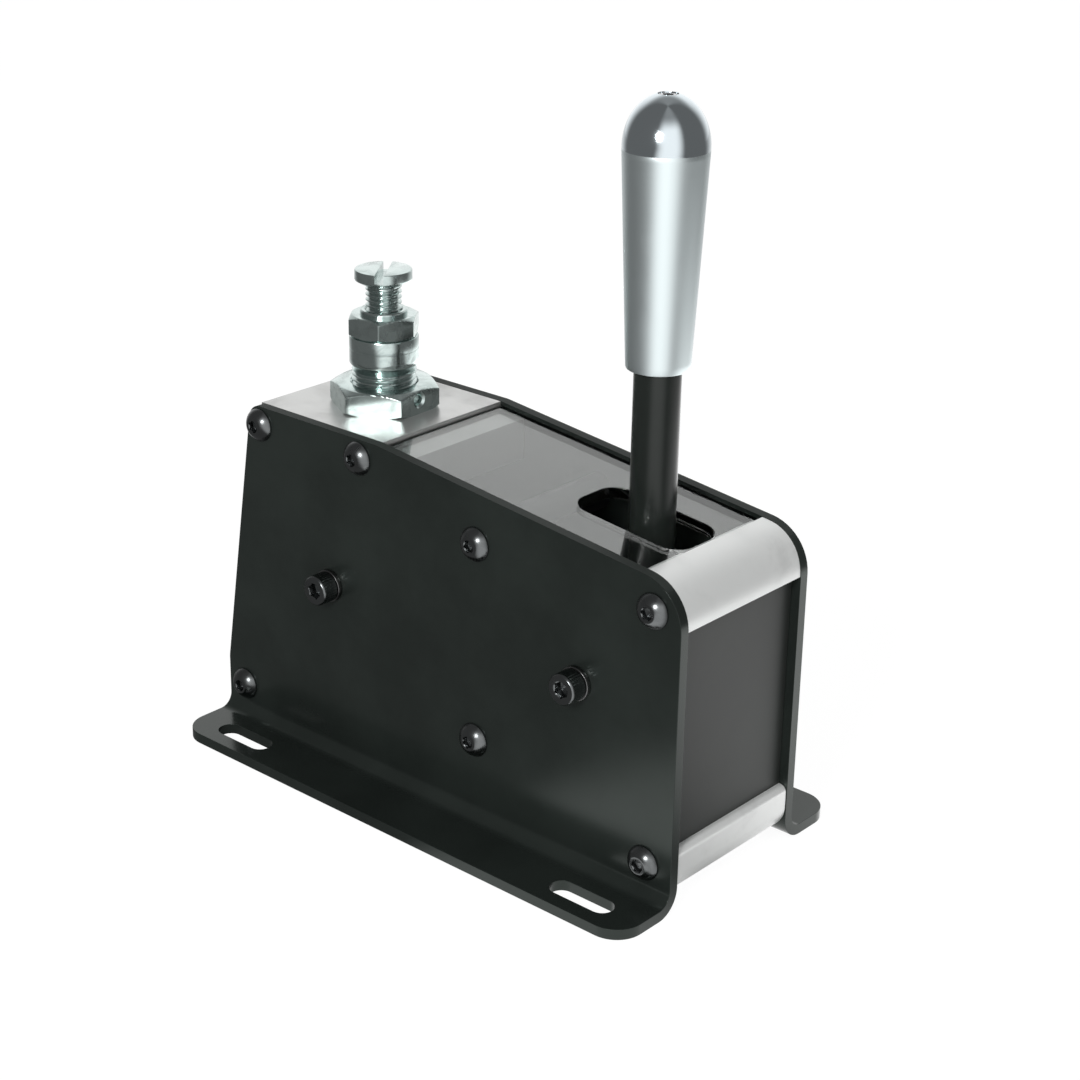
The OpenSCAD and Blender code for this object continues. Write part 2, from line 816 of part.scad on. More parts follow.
// Tapered grip with an elliptical dome
module knob() {
    r0 = knob_d0 / 2;
    r1 = knob_d1 / 2;
    edge = 0.6;
    steps = 16;
    color("#cdd0d2") translate([lever_x, 0, knob_z]) difference() {
        rotate_extrude($fn = 96) polygon([
            [0, 0], [r0 - edge, 0], [r0, edge], [r1, knob_l - dome_h - 1],
            for (i = [0:steps]) [
                r1 * cos(90 * i / steps), knob_l - dome_h + dome_h * sin(90 * i / steps)
            ]
        ]);
        translate([0, 0, -1]) cylinder(d = tube_d + 2 * play, h = knob_bore_l + 1 + gap);
        translate([0, 0, grub_z - knob_z]) cylinder(d = grub_d + 2 * play, h = grub_l + 3);
    }
}

module knob_screw() {
    color("#b9bcbe") translate([lever_x, 0, grub_z]) difference() {
        cylinder(d = grub_d, h = grub_l);
        translate([0, 0, grub_l - grub_d / 2]) hex(grub_d / 2, grub_d);
    }
}

module crank_pin(x) {
    l = fork_gap + 2 * fork_t;
    color("#9a9da0") translate([x, l / 2, crank_z]) rotate([90, 0, 0]) cylinder(d = crank_pin_d, h = l);
}

module lever_crank_pin() {
    crank_pin(lever_shaft_x);
}

module cam_crank_pin() {
    crank_pin(cam_shaft_x);
}

// Level link between the two cranks, with a pocket for the magnet
module link_rod() {
    color("#a4a8ab") difference() {
        across(0, link_t) difference() {
            union() {
                translate([cam_shaft_x, crank_z - link_h / 2]) square([lever_shaft_x - cam_shaft_x, link_h]);
                for (x = [cam_shaft_x, lever_shaft_x]) translate([x, crank_z]) circle(r = eye_r);
            }
            for (x = [cam_shaft_x, lever_shaft_x])
                translate([x, crank_z]) circle(d = crank_pin_d + 3 * play);
        }
        translate([sensor_x, link_t / 2 + 1, crank_z]) rotate([90, 0, 0])
            cylinder(d = magnet_d + 0.02, h = magnet_t + 1);
    }
}

module sensor_magnet() {
    color("#8d8f91") translate([sensor_x, link_t / 2, crank_z]) rotate([90, 0, 0])
        cylinder(d = magnet_d, h = magnet_t);
}

// Radius of the cam at an angle from the middle of its saddle
function cam_r(a) =
    let (
        t = min(1, max(0, (abs(a) - cam_floor_a) / (cam_ramp_a - cam_floor_a)))
    )
    cam_floor_r + (cam_rim_r - cam_floor_r) * t * t * (3 - 2 * t);

// Sector with a saddle for the detent pin, and the crank below
module detent_cam() {
    color("#9b9ea1") difference() {
        union() {
            translate([cam_shaft_x, cam_barrel_w / 2, shaft_z]) rotate([90, 0, 0])
                cylinder(d = cam_barrel_d, h = cam_barrel_w);
            across(0, cam_t) translate([cam_shaft_x, shaft_z]) polygon([
                [0, 0],
                for (a = [-cam_sector_a:2:cam_sector_a])
                    cam_r(a) * [sin(a + plunger_a), cos(a + plunger_a)]
            ]);
            crank_fork(cam_shaft_x);
        }
        translate([cam_shaft_x, cam_barrel_w, shaft_z]) rotate([90, 0, 0])
            cylinder(d = bush_d + 2 * play, h = 2 * cam_barrel_w);
    }
}

// Threaded sleeve through the block, with the collar and the pin's guide
module plunger_housing() {
    r = housing_d / 2;
    color("#b3b9b8") translate([plunger_x, 0, 0]) difference() {
        union() {
            translate([0, 0, housing_z]) cylinder(d = housing_d, h = collar_z - housing_z + collar_chamfer);
            rotate_extrude() polygon([
                [0, collar_z], [r - 1.6, collar_z], [collar_d / 2, collar_z + collar_chamfer],
                [collar_d / 2, housing_top], [0, housing_top]
            ]);
        }
        translate([0, 0, housing_z - 1]) cylinder(d = pin_d + 2 * play, h = guide_l + 2);
        translate([0, 0, guide_z]) cylinder(d = spring_hole_d, h = housing_top - thread_l - guide_z);
        translate([0, 0, housing_top - thread_l - 1]) cylinder(d = adjuster_d + 2 * play, h = thread_l + 2);
    }
}

// Hexagon with both ends chamfered at 30 degrees
module nut_body(af, h) {
    r = af / 2 / cos(30);
    c = (r - af / 2 * 0.97) * tan(30) * 1.4;
    intersection() {
        hex(af, h);
        rotate_extrude($fn = 96) polygon([
            [0, 0], [af / 2 * 0.97, 0], [r + 0.01, c], [r + 0.01, h - c], [af / 2 * 0.97, h], [0, h]
        ]);
    }
}

module plunger_nut() {
    wire_hole_d = 2.4;
    color("#a9b0af") translate([plunger_x, 0, nut_z]) difference() {
        rotate(31.9) nut_body(big_nut_af, big_nut_h);
        translate([0, 0, -1]) cylinder(d = housing_d + 2 * play, h = big_nut_h + 2);
        translate([big_nut_af / 2 - 2.5, 0, big_nut_h * 0.62]) rotate([0, 90, 0])
            cylinder(d = wire_hole_d, h = 4, $fn = 32);
    }
}

module lock_nut() {
    color("#a3a9a8") translate([plunger_x, 0, housing_top]) difference() {
        union() {
            rotate(6.7) nut_body(lock_nut_af, lock_nut_h);
            translate([0, 0, lock_nut_h]) cylinder(d = shoulder_d, h = shoulder_h);
        }
        translate([0, 0, -1]) cylinder(d = adjuster_d + 2 * play, h = lock_nut_h + shoulder_h + 2);
    }
}

// Slotted screw that sets the spring's preload
module adjuster_screw() {
    z0 = cup_z + cup_h + play;
    color("#b8bdbc") translate([plunger_x, 0, 0]) difference() {
        union() {
            translate([0, 0, z0]) cylinder(d = adjuster_d, h = head_z - z0 + 1);
            rotate_extrude() polygon([
                [0, head_z], [adjuster_d / 2 + 0.5, head_z], [head_d / 2, head_z + 1.3],
                [head_d / 2, head_z + head_h - 0.4], [head_d / 2 - 0.4, head_z + head_h], [0, head_z + head_h]
            ]);
        }
        rotate(-54) translate([0, 0, head_z + head_h - head_slot_h / 2 + 0.5])
            cube([head_d + 2, head_slot_w, head_slot_h + 1], center = true);
    }
}

// Disc that carries the spring's upper end, with a nose inside it
module spring_cup() {
    nose_r = spring_d / 2 - wire_d - 0.3;
    color("#8f9294") translate([plunger_x, 0, 0]) {
        translate([0, 0, cup_z]) cylinder(d = spring_hole_d - 0.2, h = cup_h);
        translate([0, 0, cup_z - 2]) cylinder(r = nose_r, h = 3);
    }
}

// Ring of the spring's wire at a share t of its length
function wire_ring(t, sides = 6) =
    let (
        r = (spring_d - wire_d) / 2,
        a = 360 * turns * t,
        z = wire_d / 2 + (spring_h - wire_d) * t
    )
    [for (i = [0:sides - 1])
        let (w = wire_d / 2 * 0.97)
        [(r + w * cos(360 * i / sides)) * cos(a), (r + w * cos(360 * i / sides)) * sin(a),
            z + w * sin(360 * i / sides)]];

module detent_spring() {
    sides = 6;
    rings = floor(turns * 10);
    faces = concat(
        [[for (i = [0:sides - 1]) i]],
        [for (k = [0:rings - 1], i = [0:sides - 1])
            let (a = k * sides + i, b = k * sides + (i + 1) % sides) each [
                [a, a + sides, b], [b, a + sides, b + sides]]],
        [[for (i = [sides - 1:-1:0]) rings * sides + i]]
    );
    color("#8b9093") translate([plunger_x, 0, spring_z])
        polyhedron([for (k = [0:rings]) each wire_ring(k / rings)], faces);
}

// Pin with a ball end that rides in the cam's saddle
module detent_pin() {
    color("#9da1a4") translate([plunger_x, 0, 0]) {
        translate([0, 0, tip_z]) cylinder(d = pin_d, h = pin_head_z - tip_z + 1);
        translate([0, 0, tip_z]) sphere(d = pin_d);
        translate([0, 0, pin_head_z]) cylinder(d = spring_hole_d - 0.2, h = pin_head_h);
    }
}

// Axes of the standoffs, pointing from the side plate into the case
module at_standoffs(depth) {
    for (s = [-1, 1])
        translate([sensor_x + s * (board_l / 2 - board_screw_in), mid_y - depth, board_z + board_h - board_screw_in])
            rotate([90, 0, 0]) children();
}

module sensor_board() {
    hole = board_screw_d + 2 * gap;
    color("#1f5a38") difference() {
        translate([sensor_x - board_l / 2, board_y - board_t, board_z]) cube([board_l, board_t, board_h]);
        at_standoffs(standoff_l - 1) cylinder(d = hole, h = board_t + 2, $fn = 32);
    }
}

module sensor_chip() {
    color("#222324") translate([sensor_x - chip_l / 2, board_y - board_t - chip_t, crank_z - chip_h / 2 + 1])
        cube([chip_l, chip_t, chip_h]);
}

module board_standoffs() {
    color("#b5b7b9") at_standoffs(0) difference() {
        cylinder(d = standoff_d, h = standoff_l, $fn = 6);
        translate([0, 0, standoff_l / 2]) cylinder(d = board_screw_d + gap, h = standoff_l, $fn = 32);
    }
}

module board_screws() {
    color("#c0c2c4") at_standoffs(standoff_l + board_t) {
        cylinder(d = board_head_d, h = board_head_h, $fn = 32);
        translate([0, 0, -board_t - standoff_l / 2 + 1]) cylinder(d = board_screw_d, h = board_t + standoff_l / 2, $fn = 32);
    }
}

left_side_plate();
right_side_plate();
detent_block();
top_cover();
nose_bar();
foot_bar();
rear_spacer();
upper_spacer();
lower_spacer();
front_panel();
rear_panel();
left_case_screws();
right_case_screws();
shaft_screws();
shaft_washers();
lever_shaft();
cam_shaft();
shaft_spacers();
lever_hub();
lever_bushes();
lever_tube();
tube_pin();
knob();
knob_screw();
lever_crank_pin();
link_rod();
sensor_magnet();
detent_cam();
cam_bushes();
cam_crank_pin();
plunger_housing();
plunger_nut();
lock_nut();
adjuster_screw();
spring_cup();
detent_spring();
detent_pin();
sensor_board();
sensor_chip();
board_standoffs();
board_screws();
usb_socket();
usb_screws();
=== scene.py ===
# %% [markdown]
# # A sequential gear shifter, dressed for its portrait
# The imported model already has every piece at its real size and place. This lesson
# gives the pieces what a drawing leaves out: edges that catch the light, threads,
# sockets, and a finish for each metal. A piece whose CAD shape is right keeps it and
# only gets a material; a piece that needs finer form is made again as a surface.

# %% Load the frame
import json
import math

import bmesh
import bpy
import numpy as np
from mathutils import Matrix, Vector

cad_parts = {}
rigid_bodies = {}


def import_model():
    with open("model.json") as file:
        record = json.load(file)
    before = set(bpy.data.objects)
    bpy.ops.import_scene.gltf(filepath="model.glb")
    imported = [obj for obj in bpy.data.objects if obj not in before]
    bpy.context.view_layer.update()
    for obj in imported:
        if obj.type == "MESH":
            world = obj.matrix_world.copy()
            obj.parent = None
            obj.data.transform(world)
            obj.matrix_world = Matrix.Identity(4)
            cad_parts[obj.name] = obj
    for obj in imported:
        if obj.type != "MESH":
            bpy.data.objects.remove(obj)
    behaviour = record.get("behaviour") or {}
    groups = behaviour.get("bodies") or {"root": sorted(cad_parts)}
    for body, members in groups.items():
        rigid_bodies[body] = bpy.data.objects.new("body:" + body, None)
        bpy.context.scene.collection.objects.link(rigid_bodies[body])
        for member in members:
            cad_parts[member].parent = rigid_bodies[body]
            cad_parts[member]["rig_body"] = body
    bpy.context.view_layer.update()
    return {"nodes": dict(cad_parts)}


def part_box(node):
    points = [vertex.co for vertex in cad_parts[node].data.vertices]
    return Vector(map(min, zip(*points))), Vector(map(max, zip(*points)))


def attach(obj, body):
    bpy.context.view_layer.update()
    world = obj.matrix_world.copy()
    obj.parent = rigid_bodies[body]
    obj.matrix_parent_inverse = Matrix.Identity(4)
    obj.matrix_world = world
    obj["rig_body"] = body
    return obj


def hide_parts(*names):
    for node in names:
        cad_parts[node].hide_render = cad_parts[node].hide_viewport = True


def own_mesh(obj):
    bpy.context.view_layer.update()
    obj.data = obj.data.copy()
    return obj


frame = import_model()
NODES = frame["nodes"]
MM = 0.001


def span(node, axis):
    """Lowest and highest of a node along an axis, 0 for X to 2 for Z, in mm."""
    return [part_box(node)[corner][axis] / MM for corner in (0, 1)]


def middle_of(node, axis):
    """Middle of a node along an axis, in metres."""
    return (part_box(node)[0][axis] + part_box(node)[1][axis]) / 2


# %% [markdown]
# ## Camera
# The camera was worked out from the photograph's straight edges: all of them belong to
# boxes and plates of known direction, so their vanishing points give the lens, the place
# and the turn. The picture was cropped off centre, and the lens shift repeats that.

# %% Place the camera
FRAME_PX = 1080
LENS_PX = 2210.5
CENTRE_PX = (489.6, 503.9)
SENSOR_MM = 36.0
CAMERA_AT = (0.36905, -0.41160, 0.29956)
CAMERA_TURN = (68.462, -0.470, 42.328)

camera = bpy.data.objects.new("portrait_camera", bpy.data.cameras.new("portrait_camera"))
bpy.context.scene.collection.objects.link(camera)
camera.data.sensor_width = SENSOR_MM
camera.data.lens = SENSOR_MM * LENS_PX / FRAME_PX
camera.data.shift_x = (FRAME_PX / 2 - CENTRE_PX[0]) / FRAME_PX
camera.data.shift_y = (CENTRE_PX[1] - FRAME_PX / 2) / FRAME_PX
camera.data.clip_start = 0.01
camera.location = CAMERA_AT
camera.rotation_euler = [math.radians(a) for a in CAMERA_TURN]
bpy.context.scene.camera = camera
print("lens", round(camera.data.lens, 2), "mm")

# %% [markdown]
# ## Shader sums as Python
# A material is a small program of nodes. Written out node by node it is hard to read, so
# one class wraps a socket and lets Python's own signs add the Math nodes: `1 - mask * 0.4`
# becomes two nodes. Everything that isn't arithmetic on numbers goes through one method.

# %% A socket that does sums
class Wire:
    """An output socket. Sums with it add Math nodes to its tree."""

    def __init__(self, tree, socket):
        self.tree = tree
        self.socket = socket

    def sum(self, operation, left, right):
        return add_node(self.tree, "ShaderNodeMath", {"operation": operation}, {0: left, 1: right})

    def __add__(self, other):
        return self.sum("ADD", self, other)

    def __radd__(self, other):
        return self.sum("ADD", other, self)

    def __sub__(self, other):
        return self.sum("SUBTRACT", self, other)

    def __rsub__(self, other):
        return self.sum("SUBTRACT", other, self)

    def __mul__(self, other):
        return self.sum("MULTIPLY", self, other)

    def __rmul__(self, other):
        return self.sum("MULTIPLY", other, self)

    def __truediv__(self, other):
        return self.sum("DIVIDE", self, other)

    def __pow__(self, other):
        return self.sum("POWER", self, other)

    def larger(self, other):
        return self.sum("MAXIMUM", self, other)

    def rise(self, low, high):
        """Goes smoothly from 0 at low to 1 at high."""
        settings = {"interpolation_type": "SMOOTHSTEP"}
        values = {"Value": self, "From Min": low, "From Max": high}
        return add_node(self.tree, "ShaderNodeMapRange", settings, values)


def add_node(tree, kind, settings=None, values=None, out=0):
    """Adds a node: its settings first, then the values or links of its sockets."""
    node = tree.nodes.new(kind)
    for name, value in (settings or {}).items():
        setattr(node, name, value)
    for name, value in (values or {}).items():
        if isinstance(value, Wire):
            tree.links.new(value.socket, node.inputs[name])
        else:
            node.inputs[name].default_value = value
    return Wire(tree, node.outputs[out])


print("signs that add a node:", "+ - * / **")

# %% [markdown]
# One shader, the Principled one, covers every finish here, from paint to glass. Setting it
# up is the same each time, so a second class holds the material with its tree and offers
# the few nodes that the finishes share. All patterns read Object coordinates, in metres,
# so a scale of 1000 gives about one cycle per millimetre.

# %% A material with its coordinates ready
class Finish:
    """A Principled material. paint() sets or links the shader's own sockets."""

    def __init__(self, name, **plain):
        self.material = bpy.data.materials.new(name)
        self.material.use_nodes = True
        self.tree = self.material.node_tree
        self.shader = self.tree.nodes["Principled BSDF"]
        self.paint(**plain)

    def paint(self, **sockets):
        for name, value in sockets.items():
            socket = self.shader.inputs[name.replace("_", " ")]
            if isinstance(value, Wire):
                self.tree.links.new(value.socket, socket)
            else:
                socket.default_value = value
        return self

    def feeding(self, name):
        """The wire that already feeds one of the shader's sockets."""
        return Wire(self.tree, self.shader.inputs[name].links[0].from_socket)

    def node(self, kind, settings=None, values=None, out=0):
        return add_node(self.tree, "ShaderNode" + kind, settings, values, out)

    def place(self):
        return self.node("TexCoord", out=3)

    def axis(self, index):
        return self.node("SeparateXYZ", None, {0: self.place()}, index)

    def facing_up(self):
        """The upward part of the surface's normal: 1 on top, 0 on a wall, -1 below."""
        return self.node("SeparateXYZ", None, {0: self.node("NewGeometry", out=1)}, 2)

    def stretched(self, scale):
        """Object coordinates, stretched for a grain: few cycles along it, many across."""
        return self.node("Mapping", None, {"Vector": self.place(), "Scale": scale})

    def noise(self, scale, detail=3.0, rough=0.55, at=None, distortion=0.0):
        values = {"Scale": scale, "Detail": detail, "Roughness": rough, "Distortion": distortion}
        values["Vector"] = at or self.place()
        return self.node("TexNoise", None, values)

    def mix(self, factor, first, second):
        """Goes from the first colour to the second. Sockets 6, 7 and output 2 are colours."""
        return self.node("Mix", {"data_type": "RGBA"}, {0: factor, 6: first, 7: second}, 2)

    def bump(self, height, depth_mm):
        return self.paint(Normal=self.node("Bump", None, {"Height": height, "Distance": depth_mm * MM}))


def shade_of(tone, share=1.0):
    """The tone times a share, as a colour with its alpha."""
    return (*(c * share for c in tone), 1.0)


print("half of a grey:", shade_of((0.4, 0.4, 0.4), 0.5))

# %% [markdown]
# ## Finishes
# Black powder coat is a thin plastic skin: nearly black, with a soft sheen and a faint
# orange peel. Two scales of noise make it, a fine one in the bump for the peel and a wide
# one in the roughness, so that the sheen isn't the same all over. A few specks of dust are
# duller. The sheet's cut edges take the powder less well, so what looks up is duller too;
# the flanges also look up but are rolled faces, so this starts above them.

# %% Powder coat and paint
CUT_EDGE_DULLER = 0.42
ABOVE_FLANGE = (0.010, 0.030)


def powder_coat(name, tone, rough, peel_mm):
    """Colour: the tone, 0.85 to 1.25 times as bright with a wide noise.
    Roughness: rough + 0.06 of that noise + 0.05 on dust. Bump: 0.7 fine and 0.3 wide noise."""
    finish = Finish(name, IOR=1.40)
    cloud = finish.noise(28.0, 4.0)
    fine = finish.noise(1900.0, 2.0)
    dust = finish.noise(420.0, 5.0, 0.7).rise(0.66, 0.78)
    finish.paint(Base_Color=finish.mix(cloud.rise(0.3, 0.7), shade_of(tone, 0.85), shade_of(tone, 1.25)))
    finish.paint(Roughness=rough + cloud * 0.06 + dust * 0.05)
    return finish.bump(fine * 0.7 + cloud * 0.3, peel_mm)


def duller_cut_edges(finish):
    """Adds to the roughness where the surface looks up and lies above the flanges."""
    upward = finish.facing_up().rise(0.70, 0.95)
    raised = finish.axis(2).rise(*ABOVE_FLANGE)
    return finish.paint(Roughness=finish.feeding("Roughness") + upward * raised * CUT_EDGE_DULLER)


plate_coat = duller_cut_edges(powder_coat("black_powder_coat", (0.0165, 0.0205, 0.0185), 0.17, 0.004))
plate_coat.paint(Specular_Tint=(0.88, 1.0, 0.93, 1))
panel_coat = powder_coat("black_panel_paint", (0.0230, 0.0260, 0.0240), 0.42, 0.004)
tube_coat = powder_coat("black_tube_enamel", (0.0130, 0.0165, 0.0145), 0.26, 0.003)
print("coats", plate_coat.material.name, panel_coat.material.name, tube_coat.material.name)

# %% [markdown]
# Bare aluminium is a mirror that has been rubbed: its colour hardly changes, its
# roughness does. A cutter or a brush leaves long fine lines, so the noise is stretched
# along the way the tool went, and handling leaves soft smears that are wide and dull.
# Finely blasted or drawn metal scatters light like paint, so it is only partly Metallic.
# The block's ledge lies in shade under the cover, and that shade is painted into its colour as a darker grey.

# %% Rubbed and turned metals
LEDGE_RISE = (0.0972, 0.0977)


def rubbed_metal(name, tone, rough, grain_scale, line_mm=0.003, smear=0.16, stain=0.12, bare=1.0):
    """Colour: the tone, darker by stain where smears and clouds meet.
    Roughness: rough + smear on smears, give or take 0.05 along the lines. Bump: the lines."""
    finish = Finish(name, Metallic=bare)
    lines = finish.noise(1.0, 6.0, 0.7, finish.stretched(grain_scale))
    smears = finish.noise(55.0, 5.0, 0.62, distortion=0.8).rise(0.36, 0.72)
    clouds = finish.noise(130.0, 3.0, 0.6).rise(0.45, 0.75)
    finish.paint(Base_Color=finish.mix(clouds * smears, shade_of(tone), shade_of(tone, 1 - stain)))
    finish.paint(Roughness=rough + smears * smear + (lines - 0.5) * 0.10)
    return finish.bump(lines, line_mm)


def painted_shade_on_ledge(finish):
    """Keeps the colour above the ledge's height and puts a darker one at and below it: painted shade under
    the cover.
    """
    above = finish.axis(2).rise(*LEDGE_RISE)
    # painted shade: the ledge under the cover is darker only because less light reaches it
    ledge_painted_shade = (0.27, 0.28, 0.275, 1)
    return finish.paint(Base_Color=finish.mix(above, ledge_painted_shade, finish.feeding("Base Color")))


block_metal = painted_shade_on_ledge(
    rubbed_metal("milled_aluminium", (0.56, 0.565, 0.555), 0.30, (60, 900, 60), 0.002, bare=0.75))
bar_metal = rubbed_metal(
    "drawn_aluminium", (0.87, 0.885, 0.875), 0.30, (1500, 16, 1500), 0.003, 0.14, 0.14, bare=0.25)
# painted shade: this steel's tone is set nearly black so the inside of the case reads as shade
dark_steel_painted_shade = rubbed_metal("blackened_steel_painted_shade", (0.035, 0.035, 0.037), 0.50, (300, 300, 60))
ground_steel = rubbed_metal("ground_steel", (0.60, 0.61, 0.62), 0.22, (300, 20, 300))
bronze = rubbed_metal("sintered_bronze", (0.46, 0.31, 0.15), 0.38, (500, 500, 500))
spring_wire = rubbed_metal("spring_wire", (0.45, 0.46, 0.47), 0.26, (500, 500, 500))
nickel = rubbed_metal("nickel_plate", (0.62, 0.61, 0.58), 0.20, (500, 500, 500))
print("metals", block_metal.material.name, bar_metal.material.name, dark_steel_painted_shade.material.name)

# %% [markdown]
# The knob was turned on a lathe. Its tool went round and slowly along, so the lines are
# rings: noise read with very many cycles along Z and almost none across. The dome was
# then polished, which is a lower roughness above one height. The darker grey above that
# height is painted shade.

# %% Turned knob
KNOB_LINE_Z = 0.1860
LINE_BLUR = 0.00015


def turned_knob():
    """Below the line: roughness 0.43 with rings, smears and small dents, light grey.
    Above it: roughness 0.11 with smears, a darker grey that is painted shade, and the rings almost gone."""
    finish = Finish("turned_aluminium", Metallic=1.0)
    rings = finish.noise(1.0, 4.0, 0.6, finish.stretched((40, 40, 5200)))
    smears = finish.noise(70.0, 5.0, 0.6, finish.stretched((1, 1, 0.35)), 0.4).rise(0.4, 0.75)
    dents = finish.noise(260.0, 2.0, 0.5).rise(0.73, 0.78)
    polished_and_shaded = finish.axis(2).rise(KNOB_LINE_Z - LINE_BLUR, KNOB_LINE_Z + LINE_BLUR)
    satin = 0.43 + (rings - 0.5) * 0.08 + smears * 0.05 - dents * 0.06
    mirror = 0.11 + smears * 0.06
    finish.paint(Roughness=satin * (1 - polished_and_shaded) + mirror * polished_and_shaded)
    # painted shade: the dome's darker grey stands in for the dim room it reflects
    finish.paint(Base_Color=finish.mix(polished_and_shaded, (0.75, 0.825, 0.835, 1), (0.60, 0.66, 0.69, 1)))
    return finish.bump(rings * (1 - polished_and_shaded * 0.8) + dents * 0.6, 0.0012)


knob_metal = turned_knob()
print("knob's finish", knob_metal.material.name)

# %% [markdown]
# Zinc plate is bright and a little green, and it keeps finger marks. Black oxide on the
# screws is thin and oiled, so it is dark but shines like a metal. Both are a metal with
# a plain tone, a smear in the roughness and a fine bump.

# %% Plated and oxided steel
def plated_steel(name, tone, rough, mark):
    """Colour: the tone, 0.82 times as bright on finger marks. Roughness: rough + mark there,
    give or take 0.025 with a fine grain. Bump: the grain."""
    finish = Finish(name, Metallic=1.0)
    marks = finish.noise(160.0, 5.0, 0.62, distortion=1.2).rise(0.42, 0.70)
    grain = finish.noise(2600.0, 2.0)
    finish.paint(Base_Color=finish.mix(marks, shade_of(tone), shade_of(tone, 0.82)))
    finish.paint(Roughness=rough + marks * mark + (grain - 0.5) * 0.05)
    return finish.bump(grain, 0.0015)


zinc = plated_steel("bright_zinc", (0.52, 0.60, 0.585), 0.17, 0.12)
black_oxide = plated_steel("black_oxide", (0.15, 0.158, 0.16), 0.22, 0.10)
washer_oxide = plated_steel("worn_black_oxide", (0.17, 0.17, 0.17), 0.26, 0.10)
print("plated", zinc.material.name, black_oxide.material.name, washer_oxide.material.name)

# %% [markdown]
# The cover is clear acrylic. Seen this low it is mostly a mirror of the pale background,
# and the shader's own Fresnel does that. Its sawn edges are polished but not quite clear.
# An edge is any face that doesn't look up or down, so the roughness reads the normal, and
# no second material is needed.

# %% Clear acrylic
def clear_acrylic():
    """Roughness: 0.012, up to 0.012 more with handling, and 0.04 more on the edges."""
    finish = Finish("clear_acrylic", Base_Color=(0.96, 0.98, 0.97, 1), IOR=1.60,
                    Transmission_Weight=1.0, Specular_Tint=(0.95, 1.0, 0.975, 1))
    upright = finish.facing_up()
    edge = 1 - (upright * upright).rise(0.30, 0.60)
    haze = finish.noise(90.0, 4.0).rise(0.35, 0.8)
    return finish.paint(Roughness=0.012 + haze * 0.012 + edge * 0.04)


acrylic = clear_acrylic()
print("cover's finish", acrylic.material.name)

# %% [markdown]
# The sensor's board is green lacquer over copper tracks, and its chip is moulded resin with
# a fine grain. Little of them is ever seen, so a brick pattern stands for the tracks.

# %% Board and chip
def board_lacquer():
    finish = Finish("solder_mask", IOR=1.5, Roughness=0.3)
    copper = finish.node("TexBrick", {"offset": 0.5}, {"Vector": finish.place(), "Scale": 180.0}, 1)
    finish.paint(Base_Color=finish.mix(copper, (0.010, 0.07, 0.03, 1), (0.02, 0.12, 0.05, 1)))
    return finish.bump(copper, 0.02)


def moulded(name, tone):
    finish = Finish(name, Base_Color=shade_of(tone), IOR=1.5)
    grain = finish.noise(1500.0, 3.0)
    finish.paint(Roughness=0.4 + grain * 0.2)
    return finish.bump(grain, 0.01)


solder_mask = board_lacquer()
black_resin = moulded("black_resin", (0.02, 0.02, 0.021))
print("board", solder_mask.material.name, "chip", black_resin.material.name)

# %% [markdown]
# ## From points to a mesh
# Every new piece is a grid of points: rows follow a profile, columns go round. One
# function turns such a grid into a closed mesh. A row whose points all meet on the axis
# is a pole, and merging points that lie together closes it.

# %% Grid to mesh
def make_piece(name, grids, finish, smooth_deg=35.0):
    """One mesh from several grids of points, each (rows, columns, 3) in metres.
    Columns always close into a ring; rows close too where the grid says so."""
    points, faces, start = [], [], 0
    for grid, closed in grids:
        rows, cols = grid.shape[:2]
        number = start + np.arange(rows * cols).reshape(rows, cols)
        if closed:
            number = np.vstack([number, number[:1]])
        a, b = number[:-1], number[1:]
        quads = np.stack([a, np.roll(a, -1, 1), np.roll(b, -1, 1), b], -1).reshape(-1, 4)
        points.append(grid.reshape(-1, 3))
        faces.append(quads)
        start += rows * cols
    mesh = bpy.data.meshes.new(name)
    mesh.from_pydata(np.vstack(points).tolist(), [], np.vstack(faces).tolist())
    tidy(mesh)
    return finish_piece(name, mesh, finish, smooth_deg)


def tidy(mesh, merge=1e-7):
    """Merges points that lie together, drops empty faces and turns all faces the same way.
    Blender guesses which way is out. For the knob it guesses wrong: its faces point in."""
    bm = bmesh.new()
    bm.from_mesh(mesh)
    bmesh.ops.remove_doubles(bm, verts=bm.verts, dist=merge)
    bmesh.ops.dissolve_degenerate(bm, edges=bm.edges, dist=merge)
    bmesh.ops.recalc_face_normals(bm, faces=bm.faces)
    bm.to_mesh(mesh)
    bm.free()


def finish_piece(name, mesh, finish, smooth_deg):
    """Smooth faces with sharp edges past an angle, one material, and an object for it."""
    mesh.shade_smooth()
    mesh.set_sharp_from_angle(angle=math.radians(smooth_deg))
    mesh.materials.clear()
    mesh.materials.append(finish.material)
    piece = bpy.data.objects.new(name, mesh)
    bpy.context.scene.collection.objects.link(piece)
    return piece


def dress(piece, node):
    """The piece stands for a CAD node: it hides it and rides on its body."""
    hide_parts(node)
    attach(piece, NODES[node]["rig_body"])
    print(node, "made with", len(piece.data.polygons), "faces")
    return piece


def remake(node, grids, finish, smooth_deg=35.0):
    """Makes the piece that stands for a node from its grids."""
    return dress(make_piece(node + "_finished", grids, finish, smooth_deg), node)


# %% [markdown]
# Screws, nuts, tube and knob all come off a lathe in one way or another, so a shape is a
# radius for each height. Blender's Screw modifier turns a profile too, but with arrays the
# radius can also change round the axis, and that gives hexagons, knurls and threads.

# %% Turned shapes
def around(count):
    """Angles of a full turn, in radians, without the repeated last one."""
    return np.arange(count) * 2 * np.pi / count


